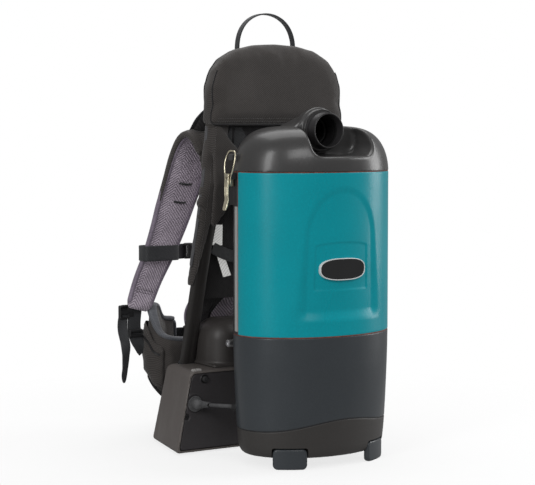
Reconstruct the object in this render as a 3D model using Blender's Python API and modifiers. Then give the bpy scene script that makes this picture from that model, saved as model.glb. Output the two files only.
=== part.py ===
"""Backpack vacuum cleaner: an oval canister carried on a padded harness with a power box behind it.

Metres, +Z up. The canister's long axis stands on the local origin, the hose port faces -Y and the
wearer stands on the +Y side. One parent empty moves the whole object so that the world origin lies
under the middle of its bounding box.
"""
import math

import bmesh
import bpy
from mathutils import Matrix, Vector

NAME = "backpack_vacuum"
GAP = 0.0003                 # air left between two pieces that touch
SHIFT_Y = -0.13375           # from the canister's axis to the middle of the bounding box
SIDES = ((-1, "left"), (1, "right"))

# Canister: an oval tube, stacked from the floor up
CAN_X, CAN_Y = 0.130, 0.090
OVAL = CAN_Y / CAN_X
WALL = 0.003
TURN_STEPS = 48
BASE_X, BASE_Z = 0.1215, 0.016
SEAM_MEAN, SEAM_WAVE, SEAM_LEAN = 0.0665, 0.0065, 0.0035
FOOT_HALF, FOOT_TOP, FOOT_ANGLE = 0.026, 0.031, 41
SLATE_TOP = 0.199
TEAL_TOP = 0.446
SPLIT_Y = 0.004              # the front and rear shells meet on this plane

# Cap, hose port and hood
CAP_TOP = 0.511
PORT_Z = 0.508
PORT_R, PORT_BORE = 0.027, 0.0245
PORT_MOUTH_Y, HOOD_Y, PORT_BACK_Y = -0.048, -0.022, -0.006
HOOD_R = 0.037
SCOOP_LEFT, SCOOP_RIGHT, SCOOP_FLOOR = -0.047, 0.066, 0.470

# Side latches: a lever on a base, and a wire bail over a hook on the cap
LATCH_X, LATCH_Y, LATCH_Z = 0.134, 0.020, 0.440
BAIL_X, BAIL_Z = LATCH_X + 0.0035, LATCH_Z - 0.012
BAIL_WIRE = 0.0013
LEVER_HALF = 0.0055
PIN_R, PIN_HALF = 0.0015, 0.0115
LATCH_BORE = 0.0019

# Motor and fan, all on the canister's axis
SHAFT_R = 0.004
FAN_R, FAN_LOW, FAN_HIGH = 0.062, 0.152, 0.188
STATOR_LOW, STATOR_HIGH = 0.096, 0.145
DECK_Z = 0.192

# Power box behind the canister: half widths and Y at its bottom and top
BOX_LOW_Z, BOX_TOP_Z = 0.003, 0.130
BOX_FRONT = ((0.172, 0.120), (0.144, 0.125))
BOX_BACK = ((0.142, 0.260), (0.131, 0.229))
BOX_WALL = 0.0035
BOX_LEAN = math.atan2(BOX_FRONT[1][1] - BOX_FRONT[0][1], BOX_TOP_Z - BOX_LOW_Z)
COVER_INSET, COVER_THICK = 0.0022, 0.003
BUTTON_AT, BUTTON_R, BUTTON_FACE_Y = (-0.118, 0.1165), 0.0054, 0.1215
BOOT_AT = (-0.137, 0.079)
CABLE_R = 0.0032
GROMMET_OUT, GROMMET_IN = Vector((-0.1000, 0.0700, 0.0790)), Vector((-0.0940, 0.0440, 0.0790))
LINK_ROUTE = ((-0.1210, 0.1065, 0.0785), (-0.1150, 0.1035, 0.0777), (-0.1085, 0.0965, 0.0775),
              (-0.1045, 0.0870, 0.0780), (-0.1020, 0.0785, 0.0788), GROMMET_OUT, (-0.0954, 0.0500, 0.0790))

# Harness
STAY_HALF, STAY_THICK = 0.013, 0.007
STAY_PATH = ((0.1015, 0.2155, 0.1205), (0.1025, 0.1760, 0.250), (0.104, 0.143, 0.355), (0.105, 0.126, 0.430),
             (0.105, 0.117, 0.512))
PAD_Y, PAD_HALF_Y = 0.111, 0.018
WEB_THICK = 0.0012           # half the thickness of flat webbing

SOFT = ((1.0, -0.45), (0.86, -0.9), (0.0, -1.0), (-0.86, -0.9),
        (-1.0, -0.45), (-1.0, 0.45), (-0.86, 0.9), (0.0, 1.0), (0.86, 0.9), (1.0, 0.45))
FLAT = ((1.0, -1.0), (-1.0, -1.0), (-1.0, 1.0), (1.0, 1.0))

MATERIALS = {
    "teal_plastic": ((0.0, 0.235, 0.296), 0.28, 0.0),
    "cap_plastic": ((0.052, 0.051, 0.050), 0.30, 0.0),
    "slate_plastic": ((0.055, 0.062, 0.069), 0.42, 0.0),
    "base_plastic": ((0.060, 0.058, 0.055), 0.50, 0.0),
    "dark_plastic": ((0.022, 0.021, 0.022), 0.45, 0.0),
    "box_plastic": ((0.115, 0.105, 0.098), 0.50, 0.0),
    "rail_plastic": ((0.42, 0.43, 0.42), 0.45, 0.0),
    "zinc_plate": ((0.56, 0.50, 0.36), 0.32, 0.9),
    "steel": ((0.50, 0.50, 0.50), 0.35, 1.0),
    "copper_winding": ((0.50, 0.22, 0.10), 0.45, 0.8),
    "rubber": ((0.016, 0.016, 0.017), 0.70, 0.0),
    "seal_rubber": ((0.16, 0.052, 0.036), 0.65, 0.0),
    "filter_cloth": ((0.60, 0.57, 0.50), 0.90, 0.0),
    "pack_fabric": ((0.058, 0.053, 0.050), 0.92, 0.0),
    "strap_mesh": ((0.190, 0.155, 0.195), 0.95, 0.0),
    "light_mesh": ((0.56, 0.56, 0.53), 0.95, 0.0),
    "webbing": ((0.028, 0.029, 0.031), 0.80, 0.0),
    "badge_plate": ((0.015, 0.015, 0.016), 0.25, 0.0),
}


def clear_scene():
    for obj in list(bpy.data.objects):
        bpy.data.objects.remove(obj, do_unlink=True)


def make_material(name):
    colour, roughness, metallic = MATERIALS[name]
    material = bpy.data.materials.new(name)
    material.use_nodes = True
    shader = material.node_tree.nodes["Principled BSDF"]
    shader.inputs["Base Color"].default_value = (*colour, 1.0)
    shader.inputs["Roughness"].default_value = roughness
    shader.inputs["Metallic"].default_value = metallic
    material.diffuse_color = (*colour, 1.0)
    return material


def new_object(data):
    obj = bpy.data.objects.new(data.name, data)
    bpy.context.scene.collection.objects.link(obj)
    return obj


def from_bmesh(bm, name="shape"):
    bmesh.ops.recalc_face_normals(bm, faces=bm.faces)
    mesh = bpy.data.meshes.new(name)
    bm.to_mesh(mesh)
    bm.free()
    return new_object(mesh)


def bake(obj):
    """Replace an object by the mesh that its modifiers or its curve make."""
    graph = bpy.context.evaluated_depsgraph_get()
    mesh = bpy.data.meshes.new_from_object(obj.evaluated_get(graph))
    if obj.type == "CURVE":
        solid = new_object(mesh)
        bpy.data.objects.remove(obj)
        bm = bmesh.new()
        bm.from_mesh(mesh)
        bmesh.ops.remove_doubles(bm, verts=bm.verts, dist=1e-5)
        bmesh.ops.recalc_face_normals(bm, faces=bm.faces)
        bm.to_mesh(mesh)
        bm.free()
        return solid
    obj.modifiers.clear()
    obj.data = mesh
    return obj


def combine(obj, other, operation):
    boolean = obj.modifiers.new(operation, "BOOLEAN")
    boolean.operation = operation
    boolean.solver = "EXACT"
    boolean.object = other
    bake(obj)
    bpy.data.objects.remove(other)
    return obj


def cut(obj, *cutters):
    for cutter in cutters:
        combine(obj, cutter, "DIFFERENCE")
    return obj


def fuse(obj, *others):
    for other in others:
        combine(obj, other, "UNION")
    return obj


def block(low, high, bevel=0.0, segments=3):
    low, high = Vector(low), Vector(high)
    size = high - low
    bm = bmesh.new()
    place = Matrix.Translation((low + high) / 2) @ Matrix.Diagonal((*size, 1.0))
    bmesh.ops.create_cube(bm, size=1.0, matrix=place)
    if bevel:
        bmesh.ops.bevel(bm, geom=bm.edges, offset=bevel, segments=segments, affect="EDGES", profile=0.5)
    return from_bmesh(bm)


def rod(start, end, radius, end_radius=None, sides=24):
    start, end = Vector(start), Vector(end)
    along = end - start
    turn = Vector((0, 0, 1)).rotation_difference(along).to_matrix().to_4x4()
    bm = bmesh.new()
    last = radius if end_radius is None else end_radius
    bmesh.ops.create_cone(bm, cap_ends=True, segments=sides, radius1=radius, radius2=last,
                          depth=along.length, matrix=Matrix.Translation((start + end) / 2) @ turn)
    return from_bmesh(bm)


def turned(profile, closed=True, oval=1.0, steps=TURN_STEPS):
    """Turn a profile of (radius, height) points about Z and flatten it in Y."""
    bm = bmesh.new()
    verts = [bm.verts.new((radius, 0.0, height)) for radius, height in profile]
    pairs = list(zip(verts, verts[1:]))
    if closed:
        pairs.append((verts[-1], verts[0]))
    for pair in pairs:
        bm.edges.new(pair)
    mesh = bpy.data.meshes.new("profile")
    bm.to_mesh(mesh)
    bm.free()
    obj = new_object(mesh)
    screw = obj.modifiers.new("turn", "SCREW")
    screw.steps = steps
    screw.render_steps = steps
    screw.use_merge_vertices = True
    screw.merge_threshold = 1e-5
    bake(obj)
    obj.data.transform(Matrix.Diagonal((1.0, oval, 1.0, 1.0)))
    return obj


def pipe(points, radius, cyclic=False, sides=2):
    curve = bpy.data.curves.new("pipe", "CURVE")
    curve.dimensions = "3D"
    curve.bevel_depth = radius
    curve.bevel_resolution = sides
    curve.use_fill_caps = True
    spline = curve.splines.new("POLY")
    spline.points.add(len(points) - 1)
    for point, place in zip(spline.points, points):
        point.co = (*place, 1.0)
    spline.use_cyclic_u = cyclic
    return bake(new_object(curve))


def slab(outline, low, high):
    """Extrude an outline of (x, z) points along Y from low to high."""
    curve = bpy.data.curves.new("slab", "CURVE")
    curve.dimensions = "2D"
    curve.fill_mode = "BOTH"
    curve.extrude = (high - low) / 2
    spline = curve.splines.new("POLY")
    spline.points.add(len(outline) - 1)
    for point, (x, z) in zip(spline.points, outline):
        point.co = (x, z, 0.0, 1.0)
    spline.use_cyclic_u = True
    obj = bake(new_object(curve))
    stand = Matrix.Translation((0, (low + high) / 2, 0)) @ Matrix.Rotation(math.pi / 2, 4, "X")
    obj.data.transform(stand)
    return obj


def swept(stations, section):
    """Push a section through stations, each a centre with a half-width and a half-thickness vector."""
    rings = []
    for centre, wide, thick in stations:
        rings.append([Vector(centre) + Vector(wide) * u + Vector(thick) * v for u, v in section])
    bm = bmesh.new()
    face = bm.faces.new([bm.verts.new(place) for place in rings[0]])
    for before, after in zip(rings, rings[1:]):
        geometry = bmesh.ops.extrude_face_region(bm, geom=[face])["geom"]
        if before is not rings[0]:
            bmesh.ops.delete(bm, geom=[face], context="FACES_ONLY")
        face = next(item for item in geometry if isinstance(item, bmesh.types.BMFace))
        for vert in face.verts:
            nearest = min(range(len(before)), key=lambda i: (before[i] - vert.co).length)
            vert.co = after[nearest]
    return from_bmesh(bm)


def ribbon(points, across, half_width, thickness):
    """A flat strap through points: its width runs along across, its thickness lies square to both."""
    points = [Vector(point) for point in points]
    across = Vector(across).normalized()
    stations = []
    for i, point in enumerate(points):
        along = points[min(i + 1, len(points) - 1)] - points[max(i - 1, 0)]
        stations.append((point, across * half_width, along.cross(across).normalized() * thickness))
    return swept(stations, FLAT)


def hexahedron(bottom, top, low_z, high_z):
    """A box whose (x, y) half outline differs at its bottom and top; each has a front and a back."""
    bm = bmesh.new()
    bmesh.ops.create_cube(bm, size=2.0)
    for vert in bm.verts:
        front, back = top if vert.co.z > 0 else bottom
        half, y = back if vert.co.y > 0 else front
        vert.co = (half * vert.co.x, y, high_z if vert.co.z > 0 else low_z)
    return bm


def bevelled(bm, width, segments=3):
    bmesh.ops.bevel(bm, geom=bm.edges, offset=width, segments=segments, affect="EDGES", profile=0.5)
    return from_bmesh(bm)


class Assembly:
    """Names pieces, gives them their material and hangs them under the parent empty."""

    def __init__(self):
        self.collection = bpy.data.collections.new(NAME)
        bpy.context.scene.collection.children.link(self.collection)
        self.parent = bpy.data.objects.new(NAME + "_frame", None)
        self.parent.location = (0, SHIFT_Y, 0)
        self.collection.objects.link(self.parent)
        self.materials = {name: make_material(name) for name in MATERIALS}

    def add(self, node, obj, material, pivot=(0, 0, 0)):
        """Store a piece under its node name, with its origin on pivot."""
        obj.name = node
        obj.data.name = node
        obj.data.materials.clear()
        obj.data.materials.append(self.materials[material])
        obj.data.transform(obj.matrix_basis)
        obj.data.transform(Matrix.Translation(-Vector(pivot)))
        obj.matrix_basis = Matrix.Translation(pivot)
        for home in list(obj.users_collection):
            home.objects.unlink(obj)
        self.collection.objects.link(obj)
        obj.parent = self.parent


def oval_core(grow, low, high):
    """A solid of the canister's outer oval, grown by a distance."""
    profile = [(0, high), (CAN_X + grow, high), (CAN_X + grow, low), (0, low)]
    return turned(profile, closed=False, oval=OVAL)


def seam_height(x):
    return SEAM_MEAN + SEAM_WAVE * math.cos(math.pi * x / 0.120) + SEAM_LEAN * x / 0.120


def seam_cutter(shift, top):
    """Everything above (or below) the wavy seam between the motor housing and the base."""
    count = 24
    reach = 0.150
    wave = [(-reach + 2 * reach * i / count) for i in range(count + 1)]
    outline = [(x, seam_height(x) + shift) for x in wave]
    outline += [(reach, top), (-reach, top)]
    return slab(outline, -0.150, 0.150)


def build_canister(parts):
    inner = CAN_X - WALL
    tube = [(CAN_X, TEAL_TOP - GAP), (CAN_X, SLATE_TOP + 0.0013), (inner, SLATE_TOP + 0.0013),
            (inner, TEAL_TOP - GAP)]
    front = turned(tube, oval=OVAL)
    cut(front, block((-0.2, SPLIT_Y, 0.1), (0.2, 0.2, 0.5)))
    cut(front, arch_cutter())
    parts.add("front_shell", front, "teal_plastic")

    rear = turned(tube, oval=OVAL)
    cut(rear, block((-0.2, -0.2, 0.1), (0.2, SPLIT_Y + GAP, 0.5)))
    for side, _ in SIDES:
        cut(rear, rail(side, GAP))
    boss = block((-0.040, 0.070, 0.405), (0.040, 0.1015, 0.435), 0.003, 1)
    fuse(rear, cut(boss, oval_core(-0.0015, 0.38, 0.46)))
    parts.add("rear_shell", rear, "dark_plastic")
    for side, word in SIDES:
        parts.add("side_rail_" + word, rail(side, 0.0), "rail_plastic")

    badge = block((-0.040, -0.0925, 0.285), (0.040, -0.0895, 0.317))
    bm = bmesh.new()
    bm.from_mesh(badge.data)
    upright = [e for e in bm.edges if abs(e.verts[0].co.y - e.verts[1].co.y) > 0.001]
    bmesh.ops.bevel(bm, geom=upright, offset=0.0155, segments=6, affect="EDGES", profile=0.5)
    bm.to_mesh(badge.data)
    bm.free()
    cut(badge, oval_core(GAP, 0.28, 0.32))
    parts.add("badge", badge, "badge_plate")

    seal = [(CAN_X + 0.0002, SLATE_TOP + 0.0010), (CAN_X + 0.0002, SLATE_TOP + GAP),
            (inner - 0.002, SLATE_TOP + GAP), (inner - 0.002, SLATE_TOP + 0.0010)]
    parts.add("body_seal", turned(seal, oval=OVAL), "seal_rubber")


def arch_outline(half, spring, top, low_half, low):
    """Half-round arch outline: straight sides up to the spring line, then an elliptic crown."""
    crown = [(half * math.cos(a), spring + (top - spring) * math.sin(a))
             for a in [math.pi * i / 10 for i in range(11)]]
    return [(low_half, low)] + crown + [(-low_half, low)]


def arch_cutter():
    """The shallow arched field pressed into the front shell round the badge."""
    field = slab(arch_outline(0.056, 0.350, 0.418, 0.062, 0.240), -0.120, -0.040)
    return cut(field, oval_core(-0.0015, 0.2, 0.5))


def rail(side, grow):
    ring = [(CAN_X + 0.0008 + grow, 0.394 + grow), (CAN_X + 0.0008 + grow, 0.205 - grow),
            (CAN_X - 0.0018 - grow, 0.205 - grow), (CAN_X - 0.0018 - grow, 0.394 + grow)]
    strip = turned(ring, oval=OVAL)
    ends = sorted((side * 0.08, side * 0.16))
    keep = block((ends[0], SPLIT_Y + 2 * GAP - grow, 0.19), (ends[1], SPLIT_Y + 0.0118 + grow, 0.41))
    return combine(strip, keep, "INTERSECT")


def build_lower_body(parts):
    """Slate motor housing with its deck, and the base cover with the motor's cradle."""
    inner = CAN_X - WALL
    wall = [(CAN_X, SLATE_TOP), (CAN_X - 0.001, 0.150), (BASE_X + 0.003, 0.060), (BASE_X, 0.030),
            (BASE_X - 0.003, 0.030), (BASE_X, 0.060), (inner - 0.001, 0.150), (inner, DECK_Z - 0.002),
            (0.045, DECK_Z - 0.002), (0.045, DECK_Z + 0.001), (inner, DECK_Z + 0.001), (inner, SLATE_TOP)]
    housing = turned(wall, oval=OVAL)
    cut(housing, seam_cutter(0.0, -0.05))
    cut(housing, through_grommet(0.0062))
    parts.add("motor_housing", housing, "slate_plastic")

    shell = [(0, 0.0205), (BASE_X - 0.006, 0.0205), (BASE_X - 0.002, 0.030), (BASE_X - 0.001, 0.052),
             (CAN_X - 0.004, 0.120), (CAN_X, 0.120), (BASE_X + 0.003, 0.060), (BASE_X, 0.030),
             (BASE_X - 0.004, 0.020), (BASE_X - 0.012, BASE_Z), (0, BASE_Z)]
    shell = list(reversed(shell))
    base = turned(shell, closed=False, oval=OVAL)
    cut(base, seam_cutter(-GAP, 0.200))
    cradle = turned([(0.034, 0.0957), (0.034, 0.018), (0.030, 0.018), (0.030, 0.0957)], steps=24)
    cut(cradle, block((-0.05, -0.012, 0.035), (0.05, 0.012, 0.075)))
    fuse(base, cradle)
    for i in range(6):
        x = -0.050 + 0.020 * i
        cut(base, block((x - 0.003, 0.060, 0.026), (x + 0.003, 0.110, 0.050)))
    for side, word in SIDES:
        cut(base, foot(side, 0.0008))
        parts.add("front_foot_" + word, foot(side, 0.0), "slate_plastic")
    parts.add("base_cover", base, "base_plastic")


def foot(side, grow):
    """A tongue-shaped foot let into the front rim of the base, turned 41 degrees from the front."""
    half, top = FOOT_HALF + grow, FOOT_TOP + grow
    outer, inner = BASE_X + 0.0004 + 8 * grow, BASE_X - 0.012 - grow
    body = turned([(outer, top), (outer, -grow), (inner, -grow), (inner, top)], oval=OVAL)
    tongue = block((-half, -0.030, -2 * grow), (half, 0.030, top - grow * 0.5))
    bm = bmesh.new()
    bm.from_mesh(tongue.data)
    for radius, is_corner in ((0.008, lambda z: z < 0.01), (0.005, lambda z: z > 0.01)):
        corners = [edge for edge in bm.edges if is_corner(edge.verts[0].co.z)
                   and abs(edge.verts[0].co.y - edge.verts[1].co.y) > 0.05]
        bmesh.ops.bevel(bm, geom=corners, offset=radius, segments=4, affect="EDGES", profile=0.5)
    angle = math.radians(FOOT_ANGLE) * side
    at = Vector((math.sin(angle) * BASE_X, -math.cos(angle) * BASE_X * OVAL, 0.0))
    heading = math.atan2(math.sin(angle) / BASE_X, math.cos(angle) / (BASE_X * OVAL))
    bm.transform(Matrix.Translation(at) @ Matrix.Rotation(heading, 4, "Z"))
    bpy.data.objects.remove(tongue)
    return combine(body, from_bmesh(bm), "INTERSECT")


def dome(drop, low):
    """Solid cap dome, shrunk inwards by drop."""
    outline = [(0.0, 0.5150), (0.050, 0.5146), (0.078, 0.5120), (0.097, 0.5060), (0.111, 0.4960),
               (0.1195, 0.4860), (0.1250, 0.4760), (0.1285, 0.4620), (0.130, 0.449)]
    shrunk = [(max(0.0, r - drop * r / 0.130), z - drop) for r, z in outline]
    profile = shrunk + [(shrunk[-1][0], low), (0.0, low)]
    return turned(profile, closed=False, oval=OVAL)


def hood(drop):
    """The tunnel that rises behind the port and sinks, round-ended, into the dome towards the back."""
    back_r = 0.0315 - drop
    back = Vector((0, 0.052, 0.4875))
    tunnel = rod((0, HOOD_Y - 0.014, PORT_Z + 0.003), back, HOOD_R - drop, back_r, sides=32)
    ball = bmesh.new()
    bmesh.ops.create_uvsphere(ball, u_segments=32, v_segments=16, radius=back_r,
                              matrix=Matrix.Translation(back) @ Matrix.Rotation(math.pi / 2, 4, "X"))
    return fuse(tunnel, from_bmesh(ball))


def scoop(grow):
    """The hollow that the port stands in, with rounded corners, open to the front and the top."""
    left, right, floor, top = SCOOP_LEFT - grow, SCOOP_RIGHT + grow, SCOOP_FLOOR - grow, 0.570
    outline = [(left, top), (left, floor + 0.014), (left + 0.0035, floor + 0.004), (left + 0.013, floor),
               (right - 0.019, floor), (right - 0.006, floor + 0.0065), (right, floor + 0.017),
               (right, floor + 0.0295), (right - 0.006, floor + 0.039), (right - 0.019, floor + 0.046),
               (right - 0.019, top)]
    return slab(outline, -0.120, HOOD_Y + grow)


def build_cap(parts):
    cap = dome(0.0, TEAL_TOP + GAP)
    fuse(cap, hood(0.0))
    cut(cap, scoop(0.0))
    room = dome(WALL, TEAL_TOP - 0.010)
    fuse(room, hood(WALL))
    cut(room, scoop(WALL))
    cut(cap, room)
    cut(cap, rod((0, -0.060, PORT_Z), (0, 0.0, PORT_Z), PORT_R + GAP, sides=32))
    for side, _ in SIDES:
        fuse(cap, hook(side))
    parts.add("cap_shell", cap, "cap_plastic")

    inner = CAN_X - WALL
    lip = [(inner - GAP, TEAL_TOP - 0.0005), (inner - GAP, TEAL_TOP - 0.006),
           (inner - 0.004, TEAL_TOP - 0.006), (inner - 0.004, TEAL_TOP - 0.0005)]
    parts.add("lid_seal", turned(lip, oval=OVAL), "seal_rubber")

    flange = 0.003
    tube = [(PORT_BORE, PORT_MOUTH_Y), (PORT_R, PORT_MOUTH_Y), (PORT_R, HOOD_Y + WALL + 0.001),
            (PORT_R + flange, HOOD_Y + WALL + 0.001), (PORT_R + flange, HOOD_Y + WALL + 0.003),
            (PORT_R, HOOD_Y + WALL + 0.003), (PORT_R, PORT_BACK_Y), (PORT_BORE, PORT_BACK_Y)]
    port = turned([(r, -y) for r, y in tube], steps=32)
    port.data.transform(Matrix.Translation((0, 0, PORT_Z)) @ Matrix.Rotation(math.pi / 2, 4, "X"))
    parts.add("inlet_port", port, "dark_plastic")

    bend = [(0, PORT_BACK_Y + GAP, PORT_Z), (0, 0.006, PORT_Z - 0.0005), (0, 0.018, PORT_Z - 0.0045),
            (0, 0.0275, PORT_Z - 0.011), (0, 0.0340, PORT_Z - 0.020), (0, 0.0375, PORT_Z - 0.033),
            (0, 0.040, 0.460), (0, 0.040, 0.4475)]
    elbow = pipe(bend, 0.0225, sides=4)
    through = [(0, -0.020, PORT_Z)] + bend[1:-1] + [(0, 0.040, 0.430)]
    cut(elbow, pipe(through, 0.0200, sides=4))
    parts.add("inlet_elbow", elbow, "dark_plastic")


def hook(side):
    """Catch on the cap's side; its top slopes outwards so that the bail slips off it."""
    outline = [(0.115, 0.463), (0.1335, 0.463), (0.1335, 0.4715), (0.1290, 0.4760), (0.115, 0.4760)]
    return slab([(side * x, z) for x, z in outline], LATCH_Y - 0.006, LATCH_Y + 0.006)


def build_dust_path(parts):
    """Paper bag with its card collar, and the filter disc that stands between the bag and the fan."""
    bag_x = 0.108
    profile = [(0, 0.4415), (0.080, 0.4415), (bag_x, 0.425), (bag_x + 0.006, 0.340), (bag_x, 0.260),
               (0.090, 0.236), (0, 0.232)]
    bag = turned(profile, closed=False, oval=OVAL, steps=32)
    fuse(bag, block((-0.045, 0.006, 0.435), (0.045, 0.072, 0.4465)))
    cut(bag, rod((0, 0.040, 0.38), (0, 0.040, 0.46), 0.0215))
    parts.add("filter_bag", bag, "filter_cloth")
    disc = [(0, 0.218), (0.118, 0.218), (0.118, 0.204), (0, 0.204)]
    parts.add("motor_filter", turned(disc, closed=False, oval=OVAL), "filter_cloth")


def build_motor(parts):
    casing = [(0.020, FAN_HIGH), (FAN_R, FAN_HIGH), (FAN_R, FAN_LOW), (0.012, FAN_LOW),
              (0.012, FAN_LOW + 0.002), (FAN_R - 0.002, FAN_LOW + 0.002), (FAN_R - 0.002, FAN_HIGH - 0.002),
              (0.020, FAN_HIGH - 0.002)]
    fan_housing = turned(casing, steps=32)
    for i in range(4):
        angle = math.pi / 4 + math.pi / 2 * i
        out = Vector((math.cos(angle), math.sin(angle), 0)) * FAN_R
        slot = block(out + Vector((-0.010, -0.010, 0.162)), out + Vector((0.010, 0.010, 0.178)))
        cut(fan_housing, slot)
    parts.add("fan_housing", fan_housing, "steel")

    bore = SHAFT_R + GAP
    hub = turned([(0.010, 0.181), (0.010, 0.160), (0.054, 0.160), (0.054, 0.158), (bore, 0.158),
                  (bore, 0.181)], steps=32)
    top = turned([(0.054, 0.1805), (0.054, 0.179), (0.021, 0.179), (0.021, 0.1805)], steps=32)
    for i in range(8):
        blade = block((0.018, -0.0006, 0.1595), (0.052, 0.0006, 0.1795))
        blade.data.transform(Matrix.Rotation(math.radians(25), 4, "Z"))
        blade.data.transform(Matrix.Translation((0.004, -0.008, 0)))
        blade.data.transform(Matrix.Rotation(math.pi / 4 * i, 4, "Z"))
        fuse(top, blade)
    parts.add("fan_impeller", fuse(hub, top), "steel")

    rotor = [(0, 0.184), (SHAFT_R, 0.184), (SHAFT_R, 0.141), (0.022, 0.141), (0.022, 0.100),
             (0.012, 0.100), (0.012, 0.094), (SHAFT_R, 0.094), (SHAFT_R, 0.082), (0, 0.082)]
    parts.add("motor_rotor", turned(rotor, closed=False, steps=24), "copper_winding")
    stator = [(0.042, STATOR_HIGH), (0.042, STATOR_LOW), (0.0245, STATOR_LOW), (0.0245, STATOR_HIGH)]
    parts.add("motor_stator", turned(stator, steps=32), "steel")
    for word, low, high in (("upper", 0.1455, 0.1515), ("lower", 0.083, 0.089)):
        ring = turned([(0.011, high), (0.011, low), (bore, low), (bore, high)], steps=20)
        parts.add("motor_bearing_" + word, ring, "steel")
    mount = turned([(0.058, DECK_Z - 0.0023), (0.058, FAN_HIGH + GAP), (0.048, FAN_HIGH + GAP),
                    (0.048, DECK_Z - 0.0023)], steps=24)
    parts.add("motor_mount", mount, "rubber")
    foam = turned([(0.060, 0.086), (0.060, 0.0208), (0.047, 0.0208), (0.047, 0.086)], steps=24)
    parts.add("exhaust_filter", foam, "filter_cloth")


def build_latches(parts):
    for side, word in SIDES:
        x = side * LATCH_X
        parts.add("latch_base_" + word, latch_base(side), "zinc_plate")
        parts.add("latch_lever_" + word, latch_lever(side), "zinc_plate", (x, LATCH_Y, LATCH_Z))
        parts.add("latch_bail_" + word, latch_bail(side), "zinc_plate", (side * BAIL_X, LATCH_Y, BAIL_Z))


def ordered(side, low, high):
    """Corners of a block given for the right side, mirrored when side is the left."""
    xs = sorted((side * low[0], side * high[0]))
    return (xs[0], low[1], low[2]), (xs[1], high[1], high[2])


def latch_base(side):
    """Plate on the rear shell with two ears, and the pin riveted between them."""
    plate = block(*ordered(side, (0.100, LATCH_Y - 0.0108, 0.396), (0.1282, LATCH_Y + 0.0108, 0.4445)))
    for sign in (-1, 1):
        ear_y = LATCH_Y + sign * 0.010
        low = (0.1275, ear_y - 0.0008, LATCH_Z - 0.005)
        ear = block(*ordered(side, low, (LATCH_X + 0.004, ear_y + 0.0008, 0.4445)))
        fuse(plate, ear)
    x = side * LATCH_X
    pin = rod((x, LATCH_Y - PIN_HALF, LATCH_Z), (x, LATCH_Y + PIN_HALF, LATCH_Z), PIN_R, sides=12)
    return fuse(cut(plate, oval_core(GAP, 0.38, 0.46)), pin)


def latch_lever(side):
    """A plate hanging from the pin, with a finger end bent outwards."""
    outline = [(-0.0035, 0.4435), (0.0060, 0.4435), (0.0070, 0.4420), (0.0070, 0.4040), (0.0105, 0.3900),
               (0.0087, 0.3880), (0.0045, 0.4030), (0.0045, 0.4240), (-0.0005, 0.4240), (-0.0005, 0.4355),
               (-0.0035, 0.4365)]
    corners = [(side * (LATCH_X + x), z) for x, z in outline]
    lever = slab(corners, LATCH_Y - LEVER_HALF, LATCH_Y + LEVER_HALF)
    for x, z in ((LATCH_X, LATCH_Z), (BAIL_X, BAIL_Z)):
        cut(lever, rod((side * x, LATCH_Y - 0.02, z), (side * x, LATCH_Y + 0.02, z), LATCH_BORE, sides=12))
    return lever


def latch_bail(side):
    """A closed wire loop: a straight bar through the lever, two bowed legs and a bar over the hook."""
    half = [(0.0, 0.0072, 0.0), (0.0, 0.0072, 0.017), (-0.001, 0.0105, 0.026), (-0.003, 0.0118, 0.036),
            (-0.0055, 0.0105, 0.044), (-0.0070, 0.0085, 0.0490)]
    loop = []
    for sign, points in ((1, half), (-1, reversed(half))):
        loop += [(side * (BAIL_X + x), LATCH_Y + sign * y, BAIL_Z + z) for x, y, z in points]
    return pipe(loop, BAIL_WIRE, cyclic=True, sides=1)


def tapered(inset, ahead, depth=None):
    """A block of the power box's tapered outline, inset all round and started ahead of its front.

    It runs depth backwards from there, or to the back wall where no depth is given.
    """
    outline = []
    for (front_half, front_y), (back_half, back_y) in zip(BOX_FRONT, BOX_BACK):
        slope = (back_half - front_half) / (back_y - front_y)
        ys = (front_y - ahead, back_y - inset if depth is None else front_y - ahead + depth)
        outline.append([(front_half - inset + slope * (y - front_y), y) for y in ys])
    return hexahedron(outline[0], outline[1], BOX_LOW_Z + inset, BOX_TOP_Z - inset)


def build_power_box(parts):
    housing = bevelled(tapered(0.0, 0.0), 0.006)
    cut(housing, from_bmesh(tapered(BOX_WALL, 0.010)))
    for side, _ in SIDES:
        cut(housing, stay(side, 0.0005))
    for x, y in ((0.136, 0.142), (0.116, 0.236)):
        for side, _ in SIDES:
            fuse(housing, rod((side * x, y, 0.0), (side * x, y, BOX_LOW_Z + 0.002), 0.007, sides=16))
    parts.add("power_box_housing", housing, "box_plastic")

    cover = from_bmesh(tapered(BOX_WALL + 0.0012, -COVER_INSET, COVER_THICK))
    x, z = BUTTON_AT
    cut(cover, rod((x, 0.110, z), (x, 0.140, z), BUTTON_R + GAP, sides=20))
    parts.add("box_front_cover", cover, "dark_plastic")
    button = rod((x, BUTTON_FACE_Y, z), (x, BUTTON_FACE_Y + 0.0125, z), BUTTON_R, sides=20)
    parts.add("power_button", button, "rubber", (x, BUTTON_FACE_Y, z))

    parts.add("battery_pack", block((-0.085, 0.142, 0.012), (0.085, 0.215, 0.112), 0.004, 2), "dark_plastic")
    clip = block((-0.138, 0.1275, BOX_TOP_Z + GAP), (-0.122, 0.1345, BOX_TOP_Z + 0.0035), 0.0008, 1)
    parts.add("cover_clip", clip, "rail_plastic")

    parts.add("cable_boot", cable_boot(), "rubber")
    grommet = rod(GROMMET_OUT.lerp(GROMMET_IN, 0.1), GROMMET_IN, 0.0058, sides=16)
    parts.add("cable_grommet", cut(grommet, through_grommet(CABLE_R + 2 * GAP)), "rubber")
    parts.add("link_cable", pipe(LINK_ROUTE, CABLE_R, sides=2), "rubber")


def through_grommet(radius):
    return rod(GROMMET_OUT.lerp(GROMMET_IN, -0.5), GROMMET_OUT.lerp(GROMMET_IN, 1.5), radius, sides=16)


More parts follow.
